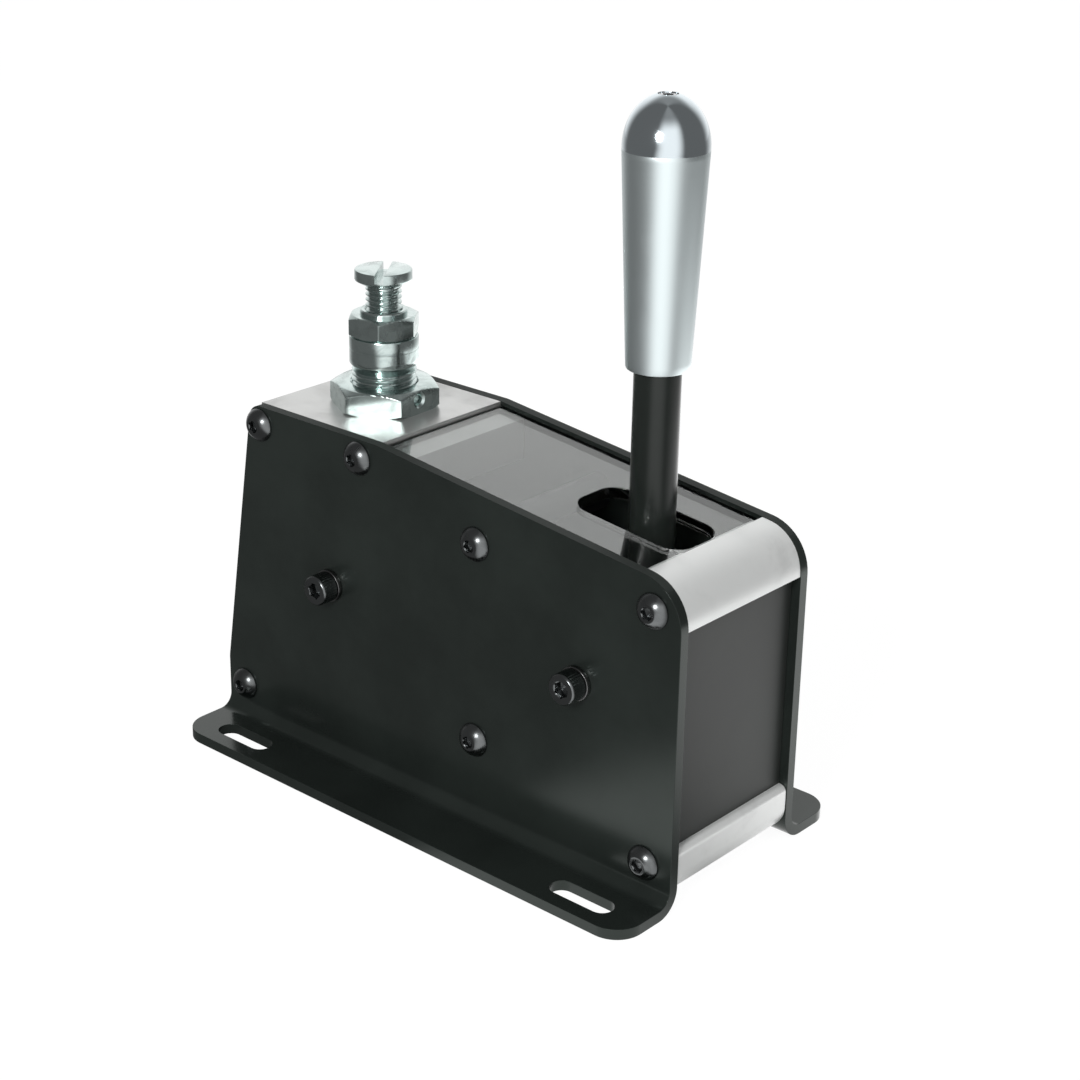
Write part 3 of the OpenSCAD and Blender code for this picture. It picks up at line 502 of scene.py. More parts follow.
def turned(radius, height, angles):
    """Points at (radius * cos a, radius * sin a, height). Radius and height are in mm,
    one per row, or one per row and column."""
    r = np.asarray(radius, float)
    z = np.asarray(height, float)
    r = r[:, None] if r.ndim == 1 else r
    z = z[:, None] if z.ndim == 1 else z
    r, z, a = np.broadcast_arrays(r, z, angles[None, :])
    return np.stack([r * np.cos(a), r * np.sin(a), z], -1) * MM


def arc(centre, radius, start_deg, end_deg, count):
    """Points of a circle's arc, for a profile of (radius, height) pairs."""
    a = np.radians(np.linspace(start_deg, end_deg, count))
    return np.stack([centre[0] + radius * np.cos(a), centre[1] + radius * np.sin(a)], -1)


def moved(grid, at, matrix=None):
    """A grid turned by a matrix, then moved to a place in metres."""
    if matrix is not None:
        grid = grid @ np.asarray(matrix, float).T
    return grid + np.asarray(at, float)


def lathe(rows, columns, at, closed, matrix=None):
    """A profile of (radius, height) rows in mm, turned round an axis at a place."""
    table = np.array(rows)
    return moved(turned(table[:, 0], table[:, 1], around(columns)), at, matrix), closed


print("a ring of 4 columns is at", np.degrees(around(4)), "degrees")

# %% [markdown]
# ## Sheet and bar
# The folded plates, the block, the bars and the panels have the right shape in the CAD
# already, but their edges are perfectly sharp, and a sharp edge is never seen in metal.
# A copy of each mesh is merged, its flat faces are joined, and a narrow bevel softens it.
# A second look at the photograph asked for small fits: the block and the nose bar lie
# flush with the plates' edges, and the cover lies a little lower on a longer ledge.

# %% Small fits, in mm
def cover_fit(x, z):
    """The whole cover lower."""
    return x, z - 0.3


def block_fit(x, z, lift=0.75, rear_in=1.6, seat_drop=0.36, lip_drop=0.6, longer=5.5):
    """The top higher and its rear edge further in; the ledge lower and longer."""
    at_front = x > x.max() - 0.5
    top = z > 98
    ledge = (x > x.max() - 4) & (z > 90) & (z < 98)
    x = x + rear_in * (top & (x < -60)) + longer * at_front
    z = z + lift * top - seat_drop * ledge - lip_drop * (at_front & (z > 90))
    return x, z


def nose_fit(x, z, lift=0.65, forward=0.6, foot_lift=1.2):
    """The round front is forward and, growing from z 78 to 84, higher; the foot is higher."""
    outer = np.clip((x - (x.max() - 11.8)) / 4, 0, 1)
    top = (z > 87.5) | (outer > 0)
    z = np.where(z < 77, z + foot_lift, z + lift * top * np.clip((z - 78) / 6, 0, 1))
    return x + forward * outer, z


FITS = {"top_cover": cover_fit, "detent_block": block_fit, "nose_bar": nose_fit}
print("fitted", sorted(FITS))

# %% Soften the edges of a CAD shape
def copied_mesh(node):
    """A copy of a CAD mesh with its double points merged, its flat faces joined and its fit made."""
    mesh = NODES[node].data.copy()
    bm = bmesh.new()
    bm.from_mesh(mesh)
    bmesh.ops.remove_doubles(bm, verts=bm.verts, dist=2e-6)
    bmesh.ops.dissolve_limit(bm, angle_limit=math.radians(0.5), verts=bm.verts, edges=bm.edges)
    bm.to_mesh(mesh)
    bm.free()
    if mesh.has_custom_normals:
        mesh.attributes.remove(mesh.attributes["custom_normal"])
    x, y, z = (np.array([v.co[:] for v in mesh.vertices]) / MM).T
    if node in FITS:
        x, z = FITS[node](x, z)
    mesh.vertices.foreach_set("co", (np.stack([x, y, z], -1) * MM).ravel())
    return mesh


def foot_bar_mesh(low=3.2, height=14.0, length=14.4, front=82.05, low_r=7.5, top_r=2.0):
    """The foot bar's profile in mm, a rectangle with a large and a small round corner in
    front, drawn along Y between the plates."""
    top = low + height
    outline = np.vstack([
        [(front - length, low)], arc((front - low_r, low + low_r), low_r, -90, 0, 16),
        arc((front - top_r, top - top_r), top_r, 0, 90, 8), [(front - length, top)],
    ])
    points = [(x, y, z) for y in span("foot_bar", 1) for x, z in outline]
    count = len(outline)
    faces = [(i, (i + 1) % count, count + (i + 1) % count, count + i) for i in range(count)]
    faces += [tuple(range(count))[::-1], tuple(range(count, 2 * count))]
    mesh = bpy.data.meshes.new("foot_bar_profile")
    mesh.from_pydata((np.array(points) * MM).tolist(), [], faces)
    tidy(mesh)
    return mesh


def softened(node, finish, width_mm):
    """A narrow bevel on every edge past 28 degrees; the faces between stay flat."""
    mesh = foot_bar_mesh() if node == "foot_bar" else copied_mesh(node)
    piece = finish_piece(node + "_finished", mesh, finish, 180.0)
    bevel = piece.modifiers.new("soft_edges", "BEVEL")
    bevel.width = width_mm * MM
    bevel.segments = 3
    bevel.limit_method = "ANGLE"
    bevel.angle_limit = math.radians(28)
    bevel.use_clamp_overlap = True
    bevel.miter_outer = "MITER_ARC"
    normals = piece.modifiers.new("flat_faces_stay_flat", "WEIGHTED_NORMAL")
    normals.keep_sharp = True
    return dress(piece, node)


for node, finish, width_mm in [
    ("left_side_plate", plate_coat, 0.35), ("right_side_plate", plate_coat, 0.35),
    ("detent_block", block_metal, 0.30), ("nose_bar", bar_metal, 0.25), ("foot_bar", bar_metal, 0.25),
    ("rear_spacer", bar_metal, 0.30), ("front_panel", panel_coat, 0.20), ("rear_panel", panel_coat, 0.20),
    ("top_cover", acrylic, 0.30),
]:
    softened(node, finish, width_mm)

# %% [markdown]
# ## Screws
# A button head is a low dome over a hexagon socket. Seen from above, its outline changes
# from a circle at the rim to a hexagon at the socket. It could be cut with a boolean, but
# the head is one grid here: each row has a height, a round radius and a share of hexagon,
# and the radius is a blend of both. All lengths are in mm, with the seat at height 0.

# %% One screw head as a grid
SHANK_D, SHANK_L = 5.0, 12.0


def hexagon(flats_mm, angles, corner):
    """Radius of a hexagon at each angle; corner rounds its six corners a little."""
    a = (angles + np.pi / 6) % (np.pi / 3) - np.pi / 6
    r = flats_mm / 2 / np.cos(a)
    return np.minimum(r, flats_mm / 2 / math.cos(math.pi / 6) * (1 - corner))


def socket_rows(top_z, depth, flats, rim, cone):
    """Rows from a socket's rim to its floor and the drill's cone below: (round radius,
    height, hexagon share). cone is a radius near its tip, the drop there and at the tip."""
    floor_z = top_z - depth
    near_r, near_drop, tip_drop = cone
    return [
        (rim, top_z, 0.0), (flats / 2 * 1.19, top_z - 0.05, 0.25), (0, top_z - 0.28, 1.0),
        (0, top_z - depth * 0.5, 1.0), (0, floor_z, 1.0),
        (near_r, floor_z - near_drop, 0), (0, floor_z - tip_drop, 0),
    ]


def socketed(rows, flats, columns):
    """Radius = round radius * (1 - share) + hexagon * share, for each row and angle."""
    angles = around(columns)
    table = np.array(rows, float)
    six = hexagon(flats, angles, 0.03)
    radius = table[:, :1] * (1 - table[:, 2:]) + six[None, :] * table[:, 2:]
    return radius, table[:, 1:2] + 0 * radius, angles


def shank_rows():
    """The shank from its chamfered end to just under the head."""
    r = SHANK_D / 2
    return [(0, -SHANK_L, 0), (r - 0.4, -SHANK_L, 0), (r, -SHANK_L + 0.5, 0)]


def button_head(flats=3.0, width=9.4, height=2.7, rim_z=0.42, foot_deg=22.0, columns=72):
    """A dome that is part of a ball, stretched to the head's height, round a socket."""
    rows = shank_rows() + [(SHANK_D / 2, z, 0) for z in (-6.0, -0.2)] + [(SHANK_D / 2 + 0.1, 0, 0)]
    rows += [(width / 2 - 0.25, 0, 0), (width / 2, 0.22, 0), (width / 2, rim_z, 0)]
    ball = (width / 2) / math.cos(math.radians(foot_deg))
    drop = ball * math.sin(math.radians(foot_deg))
    lift = (height - rim_z) / (ball * math.sin(math.radians(62)) - drop)
    dome = np.radians(np.linspace(foot_deg + 1, 60, 12))
    rows += [(ball * math.cos(a), rim_z + (ball * math.sin(a) - drop) * lift, 0) for a in dome]
    rows += socket_rows(height, 1.6, flats, 2.3, (0.35, 0.35, 0.40))
    return turned(*socketed(rows, flats, columns))


button = button_head()
print("button head", button.shape[0], "rows of", button.shape[1])

# %% [markdown]
# The CAD has one node for each side's screws, as separate solids. Each solid's box gives a
# screw its place, so nothing is measured twice. A real fitter leaves every socket at its
# own angle, and here the count of the screw turns it.

# %% Put the case screws in
SHEET = 0.003
SIDE_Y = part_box("right_side_plate")[0].y + SHEET


def solids_of(node):
    """Boxes of the separate solids in a CAD node, as (lowest, highest) corners."""
    bm = bmesh.new()
    bm.from_mesh(NODES[node].data)
    bmesh.ops.remove_doubles(bm, verts=bm.verts, dist=1e-6)
    left, boxes = set(bm.verts), []
    while left:
        edge, group = [left.pop()], []
        while edge:
            vert = edge.pop()
            group.append(vert.co.copy())
            near = {e.other_vert(vert) for e in vert.link_edges} & left
            left -= near
            edge += near
        co = np.array(group)
        boxes.append((co.min(0), co.max(0)))
    bm.free()
    return sorted(boxes, key=lambda box: tuple(box[0].round(4)))


def screws_on_side(node, grid, side, closed=False, lift_mm=0.0):
    """Repeats a grid made along +Z on each solid of a node that lies on one side, pointing
    to +Y, or to -Y for side -1, and each turned by its own angle."""
    outwards = Matrix.Rotation(-side * math.pi / 2, 3, "X")
    grids = []
    for count, (low, high) in enumerate(solids_of(node)):
        middle = (low + high) / 2
        if (middle[1] > 0) != (side > 0):
            continue
        own_turn = Matrix.Rotation(0.9 * count + 0.3, 3, "Z")
        seat = (middle[0], side * (SIDE_Y + lift_mm * MM), middle[2])
        grids.append((moved(grid, seat, outwards @ own_turn), closed))
    return grids


for side, node in [(-1, "left_case_screws"), (1, "right_case_screws")]:
    remake(node, screws_on_side(node, button, side), black_oxide)

# %% [markdown]
# A cap screw's head is a drum with a fine knurl, so that fingers can turn it. The knurl
# is a ripple in the radius that fades out at both ends of the drum. Under it lies a
# stamped washer, whose rims are rounded.

# %% Cap screws and washers
WASHER_T = 1.4


def cap_head(flats=4.0, width=8.5, height=5.0, teeth=36, columns=216, knurl=0.11):
    """A drum with a socket; radius less knurl * (1 - cos(teeth * angle)) / 2 on its side."""
    r = width / 2
    rows = shank_rows() + [(SHANK_D / 2, -0.2, 0), (SHANK_D / 2 + 0.1, 0, 0), (r - 0.35, 0, 0), (r, 0.3, 0)]
    rows += [(r, z, 0) for z in (0.55, 0.9, 2.0, 3.2, 4.0, 4.3)]
    rows += [(r - 0.04, 4.52, 0), (r - 0.2, 4.82, 0), (r - 0.43, height, 0)]
    rows += socket_rows(height, 2.5, flats, 2.55, (0.40, 0.40, 0.50))
    radius, z, angles = socketed(rows, flats, columns)
    band = np.clip((z - 0.5) / 0.4, 0, 1) * np.clip((4.35 - z) / 0.4, 0, 1) * (radius > r - 0.02)
    radius = radius - knurl * band * (0.5 - 0.5 * np.cos(teeth * angles))[None, :]
    return turned(radius, z, angles)


def washer_ring(inner_r=2.65, outer_r=4.6, thick=WASHER_T, edge=0.18):
    """Closed profile of a washer: four quarter circles joined by straight lines."""
    profile = np.vstack([
        arc((outer_r - edge, edge), edge, -90, 0, 4), arc((outer_r - edge, thick - edge), edge, 0, 90, 4),
        arc((inner_r + edge, thick - edge), edge, 90, 180, 4), arc((inner_r + edge, edge), edge, 180, 270, 4),
    ])
    return turned(profile[:, 0], profile[:, 1], around(72))


cap, ring = cap_head(), washer_ring()
cap_grids = [g for side in (-1, 1) for g in screws_on_side("shaft_screws", cap, side, lift_mm=WASHER_T)]
ring_grids = [g for side in (-1, 1) for g in screws_on_side("shaft_washers", ring, side, closed=True)]
remake("shaft_screws", cap_grids, black_oxide)
remake("shaft_washers", ring_grids, washer_oxide)

# %% [markdown]
# ## Threads
# A thread is a groove wound round a rod. At angle a and height z the groove's phase is
# z / pitch - a / turn, and the radius dips by a rounded triangle wave of that phase. As
# the phase grows by one for each turn, the grid closes on itself without a seam.

# %% Threaded radius
def thread_dip(angles, z, pitch, depth, start, end, fade=0.6, flat=0.12):
    """How far the thread cuts in, in mm, for each row and column of a grid. Crest and root
    are flat for a share of the pitch, and the groove fades out at both ends."""
    phase = (z / pitch - angles / (2 * np.pi)) % 1.0
    wave = np.abs(2 * phase - 1)
    wave = np.clip((wave - flat) / (1 - 2 * flat), 0, 1)
    ends = np.clip((z - start) / fade, 0, 1) * np.clip((end - z) / fade, 0, 1)
    return depth * (1 - wave) * ends


PLUNGER_X = middle_of("plunger_housing", 0)
PLUNGER_AT = (PLUNGER_X, 0, 0)
PITCH = 1.5
STEP = PITCH / 10
print("plunger at", round(PLUNGER_X / MM, 2), "mm, housing", span("plunger_housing", 2))

# %% [markdown]
# The housing is a threaded tube with a smooth collar at its top. A fine line near the
# collar's upper edge marks where the tool stopped. The grid goes up outside and comes
# back down the bore, so its rows close into a ring and no cap is needed.

# %% Housing with its collar
def housing_grid(thread_r=9.0, collar_r=9.6, collar_h=9.6, chamfer=1.8, bore_r=5.05, depth=0.85):
    low, high = span("plunger_housing", 2)
    collar_z = high - collar_h
    rows = [(thread_r - 0.8, low)]
    rows += [(thread_r, z) for z in np.arange(low + 0.4, collar_z - 0.05, STEP)]
    rows += [(thread_r - 1.0, collar_z), (collar_r - 0.15, collar_z + chamfer - 0.1)]
    rows += [(collar_r, collar_z + z) for z in (chamfer + 0.15, 3.2, 5.9)]
    rows += [(collar_r - 0.10, collar_z + 6.0), (collar_r - 0.10, collar_z + 6.25)]
    rows += [(collar_r, collar_z + 6.35), (collar_r, high - 0.5)]
    rows += [(collar_r - 0.15, high - 0.12), (collar_r - 0.5, high)]
    rows += [(bore_r + 0.3, high), (bore_r, high - 0.3), (bore_r, low + 0.2), (bore_r + 0.2, low)]
    table = np.array(rows)
    angles = around(128)
    z = table[:, 1:2] + 0 * angles[None, :]
    outside = (table[:, :1] > thread_r - 0.1) & (table[:, 1:2] < collar_z)
    dip = thread_dip(angles[None, :], z, PITCH, depth, low, collar_z - 0.1) * outside
    return turned(table[:, :1] - dip, z, angles)


remake("plunger_housing", [(moved(housing_grid(), PLUNGER_AT), True)], zinc)

# %% [markdown]
# ## Nuts
# A nut is a hexagon bar with its ends turned to a cone. At every angle and height the
# surface is whichever lies nearer the axis, the flat or the cone, so the chamfer's curved
# edges come by themselves from a minimum of two radii. The big nut has one small
# countersunk hole, which doesn't fit such a grid, so that alone is cut with a boolean.

# %% Hexagon nuts
HOLE_R, HOLE_DEPTH, HOLE_SINK = 1.65, 2.6, 0.65


def nut_grid(flats, low, high, bore_r, turn_deg, chamfer_deg=30.0, crown=0.97, columns=192):
    """Radius = min(hexagon, cone), with cone = flats / 2 * crown + depth / tan(chamfer)."""
    angles = around(columns)
    six = hexagon(flats, angles - math.radians(turn_deg), 0.004)
    lift = np.concatenate([np.linspace(0, 2.2, 14), [(high - low) / 2]])
    z = np.concatenate([low + lift, high - lift[::-1][1:]])
    depth = np.minimum(z - low, high - z)
    cone = flats / 2 * crown + depth / math.tan(math.radians(chamfer_deg))
    sharp = np.minimum(six[None, :], cone[:, None])
    bore, mouth = np.full(columns, bore_r), np.full(columns, bore_r + 0.5)
    radius = np.vstack([mouth, sharp, mouth, bore, bore])
    z = np.concatenate([[low], z, [high, high - 0.5, low + 0.5]])
    return turned(radius, z[:, None] + 0 * radius, angles)


def drill(piece, at, along, radius_mm, depth_mm, sink_mm):
    """Cuts a countersunk blind hole with a cutter that is a turned shape too."""
    bit = [(0, -depth_mm), (radius_mm, -depth_mm + 0.6), (radius_mm, -sink_mm),
           (radius_mm + sink_mm, 0.05), (radius_mm + sink_mm, 1.0), (0, 1.0)]
    turn = Vector(along).to_track_quat("Z", "Y").to_matrix()
    cutter = make_piece("drill_bit", [lathe(bit, 48, at, False, turn)], zinc)
    cut = piece.modifiers.new("hole", "BOOLEAN")
    cut.object = cutter
    cut.operation = "DIFFERENCE"
    cut.solver = "EXACT"
    graph = bpy.context.evaluated_depsgraph_get()
    mesh = bpy.data.meshes.new_from_object(piece.evaluated_get(graph))
    piece.modifiers.clear()
    piece.data = mesh
    bpy.data.objects.remove(cutter)
    mesh.set_sharp_from_angle(angle=math.radians(35))
    return piece


nut_low, nut_high = span("plunger_nut", 2)
nut = [(moved(nut_grid(27.0, nut_low, nut_high, 9.05, 1.9), PLUNGER_AT), True)]
hole_at = (PLUNGER_X + 13.5 * MM, 0.0, (nut_low + 0.62 * (nut_high - nut_low)) * MM)
big_nut = make_piece("plunger_nut_finished", nut, zinc, 25)
dress(drill(big_nut, hole_at, (1, 0, 0), HOLE_R, HOLE_DEPTH, HOLE_SINK), "plunger_nut")

# %% [markdown]
# The lock nut is smaller and carries a round shoulder, which is a second grid in the same
# mesh: a short ring that sinks a little into the nut.

# %% Lock nut with its shoulder
SHOULDER_R, SHOULDER_H, ROD_HOLE_R = 6.5, 1.3, 5.05
lock_low, lock_high = span("lock_nut", 2)
lock_top = lock_high - SHOULDER_H
shoulder = [(ROD_HOLE_R, lock_top - 0.2), (SHOULDER_R, lock_top - 0.2), (SHOULDER_R, lock_high - 0.3),
            (SHOULDER_R - 0.3, lock_high), (ROD_HOLE_R + 0.3, lock_high), (ROD_HOLE_R, lock_high - 0.3)]
lock_nut = (moved(nut_grid(18.0, lock_low, lock_top, ROD_HOLE_R, 36.7), PLUNGER_AT), True)
remake("lock_nut", [lock_nut, lathe(shoulder, 96, PLUNGER_AT, True)], zinc, 25)

# %% [markdown]
# ## Adjuster
# The adjuster is a threaded rod under a thick slotted head. The head is two halves on a
# common disc: each half is a segment of a circle, cut by the slot's wall, and its rings
# shrink a little at the top so that the edges are broken.

# %% Slotted head and rod
def half_disc(radius, wall, bow_points=48, wall_points=16):
    """Outline of the part of a disc that lies beyond a wall at the given distance."""
    reach = math.acos(wall / radius)
    bow = np.linspace(-reach, reach, bow_points)
    end = radius * math.sin(reach)
    chord_y = np.linspace(end, -end, wall_points + 2)[1:-1]
    x = np.concatenate([radius * np.cos(bow), np.full(wall_points, wall)])
    y = np.concatenate([radius * np.sin(bow), chord_y])
    return np.stack([x, y], -1)


def stacked(levels, middle):
    """Rings of outlines at their heights, closed at both ends to a middle point."""
    rings = [np.column_stack([outline, np.full(len(outline), z)]) for outline, z in levels]
    first = np.tile([*middle, levels[0][1]], (len(rings[0]), 1))
    last = np.tile([*middle, levels[-1][1]], (len(rings[0]), 1))
    return np.stack([first, *rings, last]) * MM


def adjuster_grids(head_r=7.9, head_h=4.2, slot_w=2.4, slot_h=2.4, rod_r=5.0, depth=0.80, turn_deg=-54.0):
    """Two halves above the slot's floor, the disc under them, and the threaded rod."""
    low, high = span("adjuster_screw", 2)
    head_z, floor, half = high - head_h, high - slot_h, slot_w / 2
    turn = Matrix.Rotation(math.radians(turn_deg), 3, "Z")
    broken_edge = [(0.0, floor), (0.0, high - 0.5), (0.06, high - 0.25), (0.2, high - 0.07), (0.45, high)]
    levels = [(half_disc(head_r - inset, half + inset), z) for inset, z in broken_edge]
    grids = []
    for way in (0, math.pi):
        flip = turn @ Matrix.Rotation(math.pi / 2 + way, 3, "Z")
        grids.append((moved(stacked(levels, (head_r / 2, 0)), PLUNGER_AT, flip), False))
    disc = [(0, head_z), (rod_r + 0.6, head_z), (head_r - 0.1, head_z + 1.25), (head_r, head_z + 1.45),
            (head_r, floor), (0, floor)]
    grids.append(lathe(disc, 128, PLUNGER_AT, False))
    z = np.concatenate([[low, low], np.arange(low + 0.3, head_z + 0.2, STEP), [head_z + 0.3]])
    radius = np.concatenate([[0, rod_r - 0.5], np.full(len(z) - 3, rod_r), [0]])
    angles = around(96)
    dip = thread_dip(angles[None, :], z[:, None], PITCH, depth, low, head_z - 0.3)
    dip = dip * (radius[:, None] > rod_r - 0.1)
    grids.append((moved(turned(radius[:, None] - dip, z[:, None] + 0 * dip, angles), PLUNGER_AT), False))
    return grids


remake("adjuster_screw", adjuster_grids(), zinc)

# %% [markdown]
# ## Lever
# The knob is one long profile turned round the lever's axis: a broken lower edge, a
# straight taper, a fine line where the tool changed, and a dome that is a quarter of an
# ellipse. The profile starts and ends on the axis, so the shape is closed.

# %% Knob
TUBE_IN_KNOB = 24.0
tube_low, tube_high = span("lever_tube", 2)
KNOB_LOW, KNOB_HIGH = tube_high - TUBE_IN_KNOB, 199.5
LEVER_AT = (middle_of("lever_tube", 0), 0, 0)


def knob_profile(low, high, r0=8.1, r1=10.65, dome_h=12.9, bore_r=6.05, bore_l=24.1, grub_r=2.55):
    """Up the bore, round the lower edge, along the taper from r0 to r1, and over the dome,
    r1 * cos a wide and dome_h * sin a high, to the grub screw's hole."""
    line = high - dome_h - 0.6
    taper = np.linspace(0.04, 1.0, 40)
    rows = [(0, low + bore_l), (bore_r, low + bore_l), (bore_r, low + 0.5), (bore_r + 0.4, low + 0.05)]
    rows += [(r0 - 0.55, low), (r0 - 0.16, low + 0.14), (r0, low + 0.5)]
    rows += [(r0 + (r1 - r0) * t, low + (line - low) * t) for t in taper]
    rows += [(r1 - 0.02, line + 0.05), (r1, line + 0.3)]
    lean = np.radians(np.linspace(2, 76.2, 44))
    rows += [(r1 * math.cos(a), high - dome_h + dome_h * math.sin(a)) for a in lean]
    rim = high - dome_h + dome_h * math.sqrt(1 - (grub_r / r1) ** 2)
    rows += [(grub_r + 0.05, rim), (grub_r, rim - 0.15), (grub_r, rim - 2.5), (0, rim - 2.5)]
    return rows


remake("knob", [lathe(knob_profile(KNOB_LOW, KNOB_HIGH), 160, LEVER_AT, False)], knob_metal)
print("knob from", round(KNOB_LOW, 1), "to", KNOB_HIGH, "mm")

# %% [markdown]
# The lever itself is a plain tube with broken ends. It has more rings along it than its
# shape needs, which keeps its triangles from growing too long and thin.

# %% Tube
TUBE_R, TUBE_BORE_R = 6.0, 4.0
tube = [(TUBE_R - 0.3, tube_low), (TUBE_R, tube_low + 0.3)]
tube += [(TUBE_R, z) for z in np.linspace(tube_low + 1, tube_high - 1, 12)]
tube += [(TUBE_R, tube_high - 0.3), (TUBE_R - 0.3, tube_high)]
tube += [(TUBE_BORE_R, tube_high), (TUBE_BORE_R, tube_low)]
remake("lever_tube", [lathe(tube, 128, LEVER_AT, True)], tube_coat)

# %% [markdown]
# ## What lies inside
# The mechanism keeps its CAD shapes, so it only needs finishes, put into the material
# slots that the nodes have already. Its steel is nearly black, partly as blackened steel and
# partly as painted shade for the inside of the case, and so the slot in the cover shows a
# dark space with only small glints.

# %% Finishes of the inner pieces
INNER = {
    dark_steel_painted_shade: ["lever_hub", "detent_cam", "link_rod", "shaft_spacers", "upper_spacer", "lower_spacer"],
    ground_steel: ["lever_shaft", "cam_shaft", "tube_pin", "lever_crank_pin", "cam_crank_pin", "detent_pin",
                   "spring_cup", "knob_screw"],
    bronze: ["lever_bushes", "cam_bushes"],
    nickel: ["sensor_magnet", "board_standoffs", "board_screws", "usb_socket"],
    solder_mask: ["sensor_board"],
    black_resin: ["sensor_chip"],
    black_oxide: ["usb_screws"],
}
slots = [(slot, finish) for finish, names in INNER.items()
         for name in names for slot in NODES[name].material_slots]
for slot, finish in slots:
    slot.material = finish.material
print("inner pieces", sum(len(names) for names in INNER.values()), "with", len(slots), "material slots")

# %% [markdown]
# The detent spring stands between the pin's head and the cup. When the pin rises the cup
# holds still, so the real spring shortens towards its upper end by as much as the pin
# lifts; here it keeps its CAD coil, with a mesh of its own and a spring wire finish.

# %% Detent spring with a mesh of its own
coil = NODES["detent_spring"].data.copy()
tidy(coil)
spring = dress(finish_piece("detent_spring_finished", coil, spring_wire, 60.0), "detent_spring")
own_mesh(spring)

# %% [markdown]
# ## Studio
# Metal shows its room, and the photograph's metal shows a softbox close to the camera,
# pale paper behind the object, and dimmer sides and ceiling. So the world and the floor
# are plain white for the camera, and for reflections they follow that room. It is fixed
# to the object and not to the camera, as a real studio is.

# %% Room seen by reflections
CAMERA_WAY = math.atan2(CAMERA_AT[1], CAMERA_AT[0])
DARK, WALL, SOFTBOX = 0.165, 1.10, 1.18
WALL_TURN, SOFTBOX_TURN, TABLE_TURN = 174, 6, 120
CEILING_DIMMER = 0.85
SOFT_LIGHT = 0.50
FLOOR_WALL, TABLE_LIGHT_POOL = 0.75, 1.65


def around_object(degrees, x, y):
    """Cosine of the turn between a level direction (x, y) and the one so far right of the camera."""
    way = CAMERA_WAY + math.radians(degrees)
    return x * math.cos(way) + y * math.sin(way)


def level_way(x, y):
    """(x, y) brought to length 1, and the length it had."""
    length = (x * x + y * y).larger(0.0001) ** 0.5
    return x / length, y / length, length


def room_light(x, y):
    """Light from each level direction: a wide wall behind and a narrow softbox in front."""
    wall = around_object(WALL_TURN, x, y).rise(0.42, 1.00)
    softbox = around_object(SOFTBOX_TURN, x, y).rise(0.76, 0.99)
    return wall, softbox


def light_path(tree):
    """Is Camera Ray, Is Diffuse Ray, Is Glossy Ray and Is Transmission Ray."""
    return [add_node(tree, "ShaderNodeLightPath", None, None, i) for i in (0, 2, 3, 6)]


def build_world():
    """Strength: 1 for what the camera sees, also through glass; SOFT_LIGHT for diffuse rays;
    for reflections DARK + wall + softbox, dimmer towards the ceiling."""
    world = bpy.data.worlds.new("studio")
    bpy.context.scene.world = world
    world.use_nodes = True
    tree = world.node_tree
    tree.nodes.clear()
    way = add_node(tree, "ShaderNodeTexCoord")
    x, y, z = [add_node(tree, "ShaderNodeSeparateXYZ", None, {0: way}, i) for i in range(3)]
    level_x, level_y, _ = level_way(x, y)
    wall, softbox = room_light(level_x, level_y)
    low = 1 - z.rise(0.50, 0.88) * CEILING_DIMMER
    room = DARK + (wall * WALL + softbox * SOFTBOX) * low
    camera_ray, diffuse_ray, glossy_ray, through_ray = light_path(tree)
    plain = camera_ray.larger(through_ray)
    other = diffuse_ray * SOFT_LIGHT + (1 - diffuse_ray) * glossy_ray.larger(0.5) * room
    strength = plain + (1 - plain) * other
    light = add_node(tree, "ShaderNodeBackground", None, {"Color": (1, 1, 1, 1), "Strength": strength})
    out = tree.nodes.new("ShaderNodeOutputWorld")
    tree.links.new(light.socket, out.inputs[0])
    print("world of", len(tree.nodes), "nodes")


build_world()

# %% [markdown]
# The floor is a large pale sheet. The camera sees it almost as pure white, with enough of
# its matte side left to keep the object's shadow. In reflections it carries the same wall
# and softbox, and a painted pool of light on the table top beside the object, seen low in
# the zinc and the bars.

# %% Floor
FLOOR_REACH, FLOOR_GLOW, FLOOR_WHITE, FLOOR_PLAIN = 3.0, 1.08, 0.90, 0.88
TABLE_REACH = (0.28, 0.50)


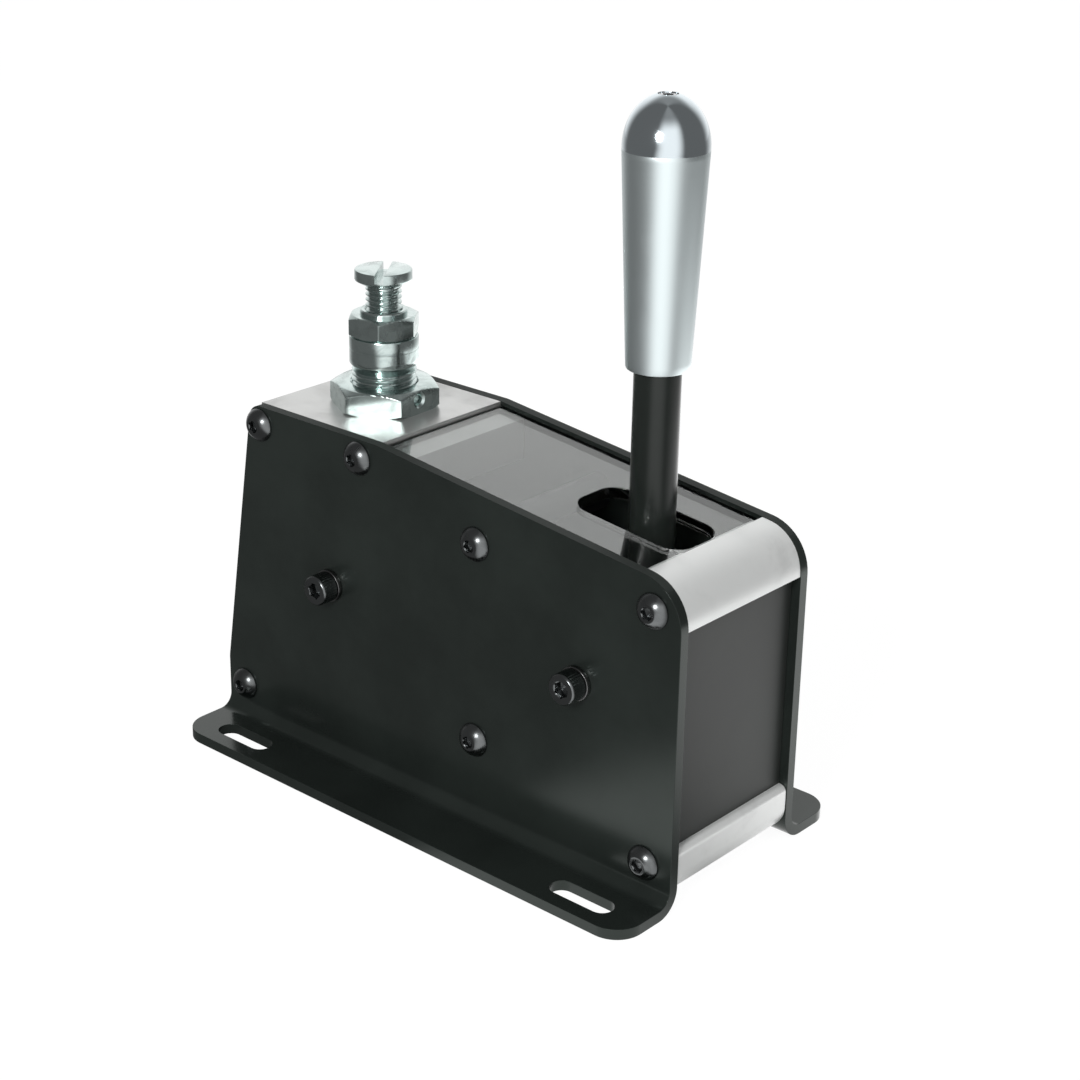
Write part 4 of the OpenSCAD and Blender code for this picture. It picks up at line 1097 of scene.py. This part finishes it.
def build_floor():
    mesh = bpy.data.meshes.new("floor")
    corners = [(x * FLOOR_REACH, y * FLOOR_REACH, 0) for x, y in [(-1, -1), (1, -1), (1, 1), (-1, 1)]]
    mesh.from_pydata(corners, [], [(0, 1, 2, 3)])
    floor = bpy.data.objects.new("floor", mesh)
    bpy.context.scene.collection.objects.link(floor)
    material = bpy.data.materials.new("pale_floor")
    material.use_nodes = True
    tree = material.node_tree
    tree.nodes.clear()
    place = add_node(tree, "ShaderNodeTexCoord", None, None, 3)
    x, y = [add_node(tree, "ShaderNodeSeparateXYZ", None, {0: place}, i) for i in (0, 1)]
    level_x, level_y, far = level_way(x, y)
    wall, softbox = room_light(level_x, level_y)
    # painted pool of light: the table top beside the object glows brighter in reflections
    table = around_object(TABLE_TURN, level_x, level_y).rise(0.20, 0.85) * (1 - far.rise(*TABLE_REACH))
    shade = DARK + wall * FLOOR_WALL + softbox * SOFTBOX + table * TABLE_LIGHT_POOL
    camera_ray, _, glossy_ray, through_ray = light_path(tree)
    white = add_node(tree, "ShaderNodeEmission", None, {"Color": (1, 1, 1, 1), "Strength": FLOOR_GLOW})
    seen = add_node(tree, "ShaderNodeEmission", None, {"Color": (1, 1, 1, 1), "Strength": shade})
    matte = add_node(tree, "ShaderNodeBsdfDiffuse", None, {"Color": shade_of((FLOOR_WHITE,) * 3)})
    plain = camera_ray.larger(through_ray)
    lit = add_node(tree, "ShaderNodeMixShader", None, {0: plain * FLOOR_PLAIN, 1: matte, 2: white})
    final = add_node(tree, "ShaderNodeMixShader", None, {0: glossy_ray, 1: lit, 2: seen})
    out = tree.nodes.new("ShaderNodeOutputMaterial")
    tree.links.new(final.socket, out.inputs[0])
    mesh.materials.append(material)
    print("floor of", 2 * FLOOR_REACH, "m,", len(tree.nodes), "nodes")


build_floor()

# %% [markdown]
# One small lamp adds what a world can't: a sharp highlight on the dome and the screws, and
# a soft shadow under the flanges. It hangs in front of the near side plate, 0.44 m above
# the floor, and is weak, so that the world still gives most of the light.

# %% Key lamp
AIM = Vector((0.0, 0.0, 0.09))
KEY_WAY = Vector((0.33, -0.84, 0.44))
KEY_DISTANCE, KEY_SIZE, KEY_WATTS = 0.8, 0.20, 2.6

lamp = bpy.data.lights.new("key", "AREA")
lamp.shape = "DISK"
lamp.size = KEY_SIZE
lamp.energy = KEY_WATTS
key = bpy.data.objects.new("key", lamp)
bpy.context.scene.collection.objects.link(key)
key.location = AIM + KEY_WAY * KEY_DISTANCE
key.rotation_euler = (AIM - key.location).to_track_quat("-Z", "Y").to_euler()
bpy.context.scene.view_settings.view_transform = "Standard"
print("lamp at", [round(c, 3) for c in key.location])
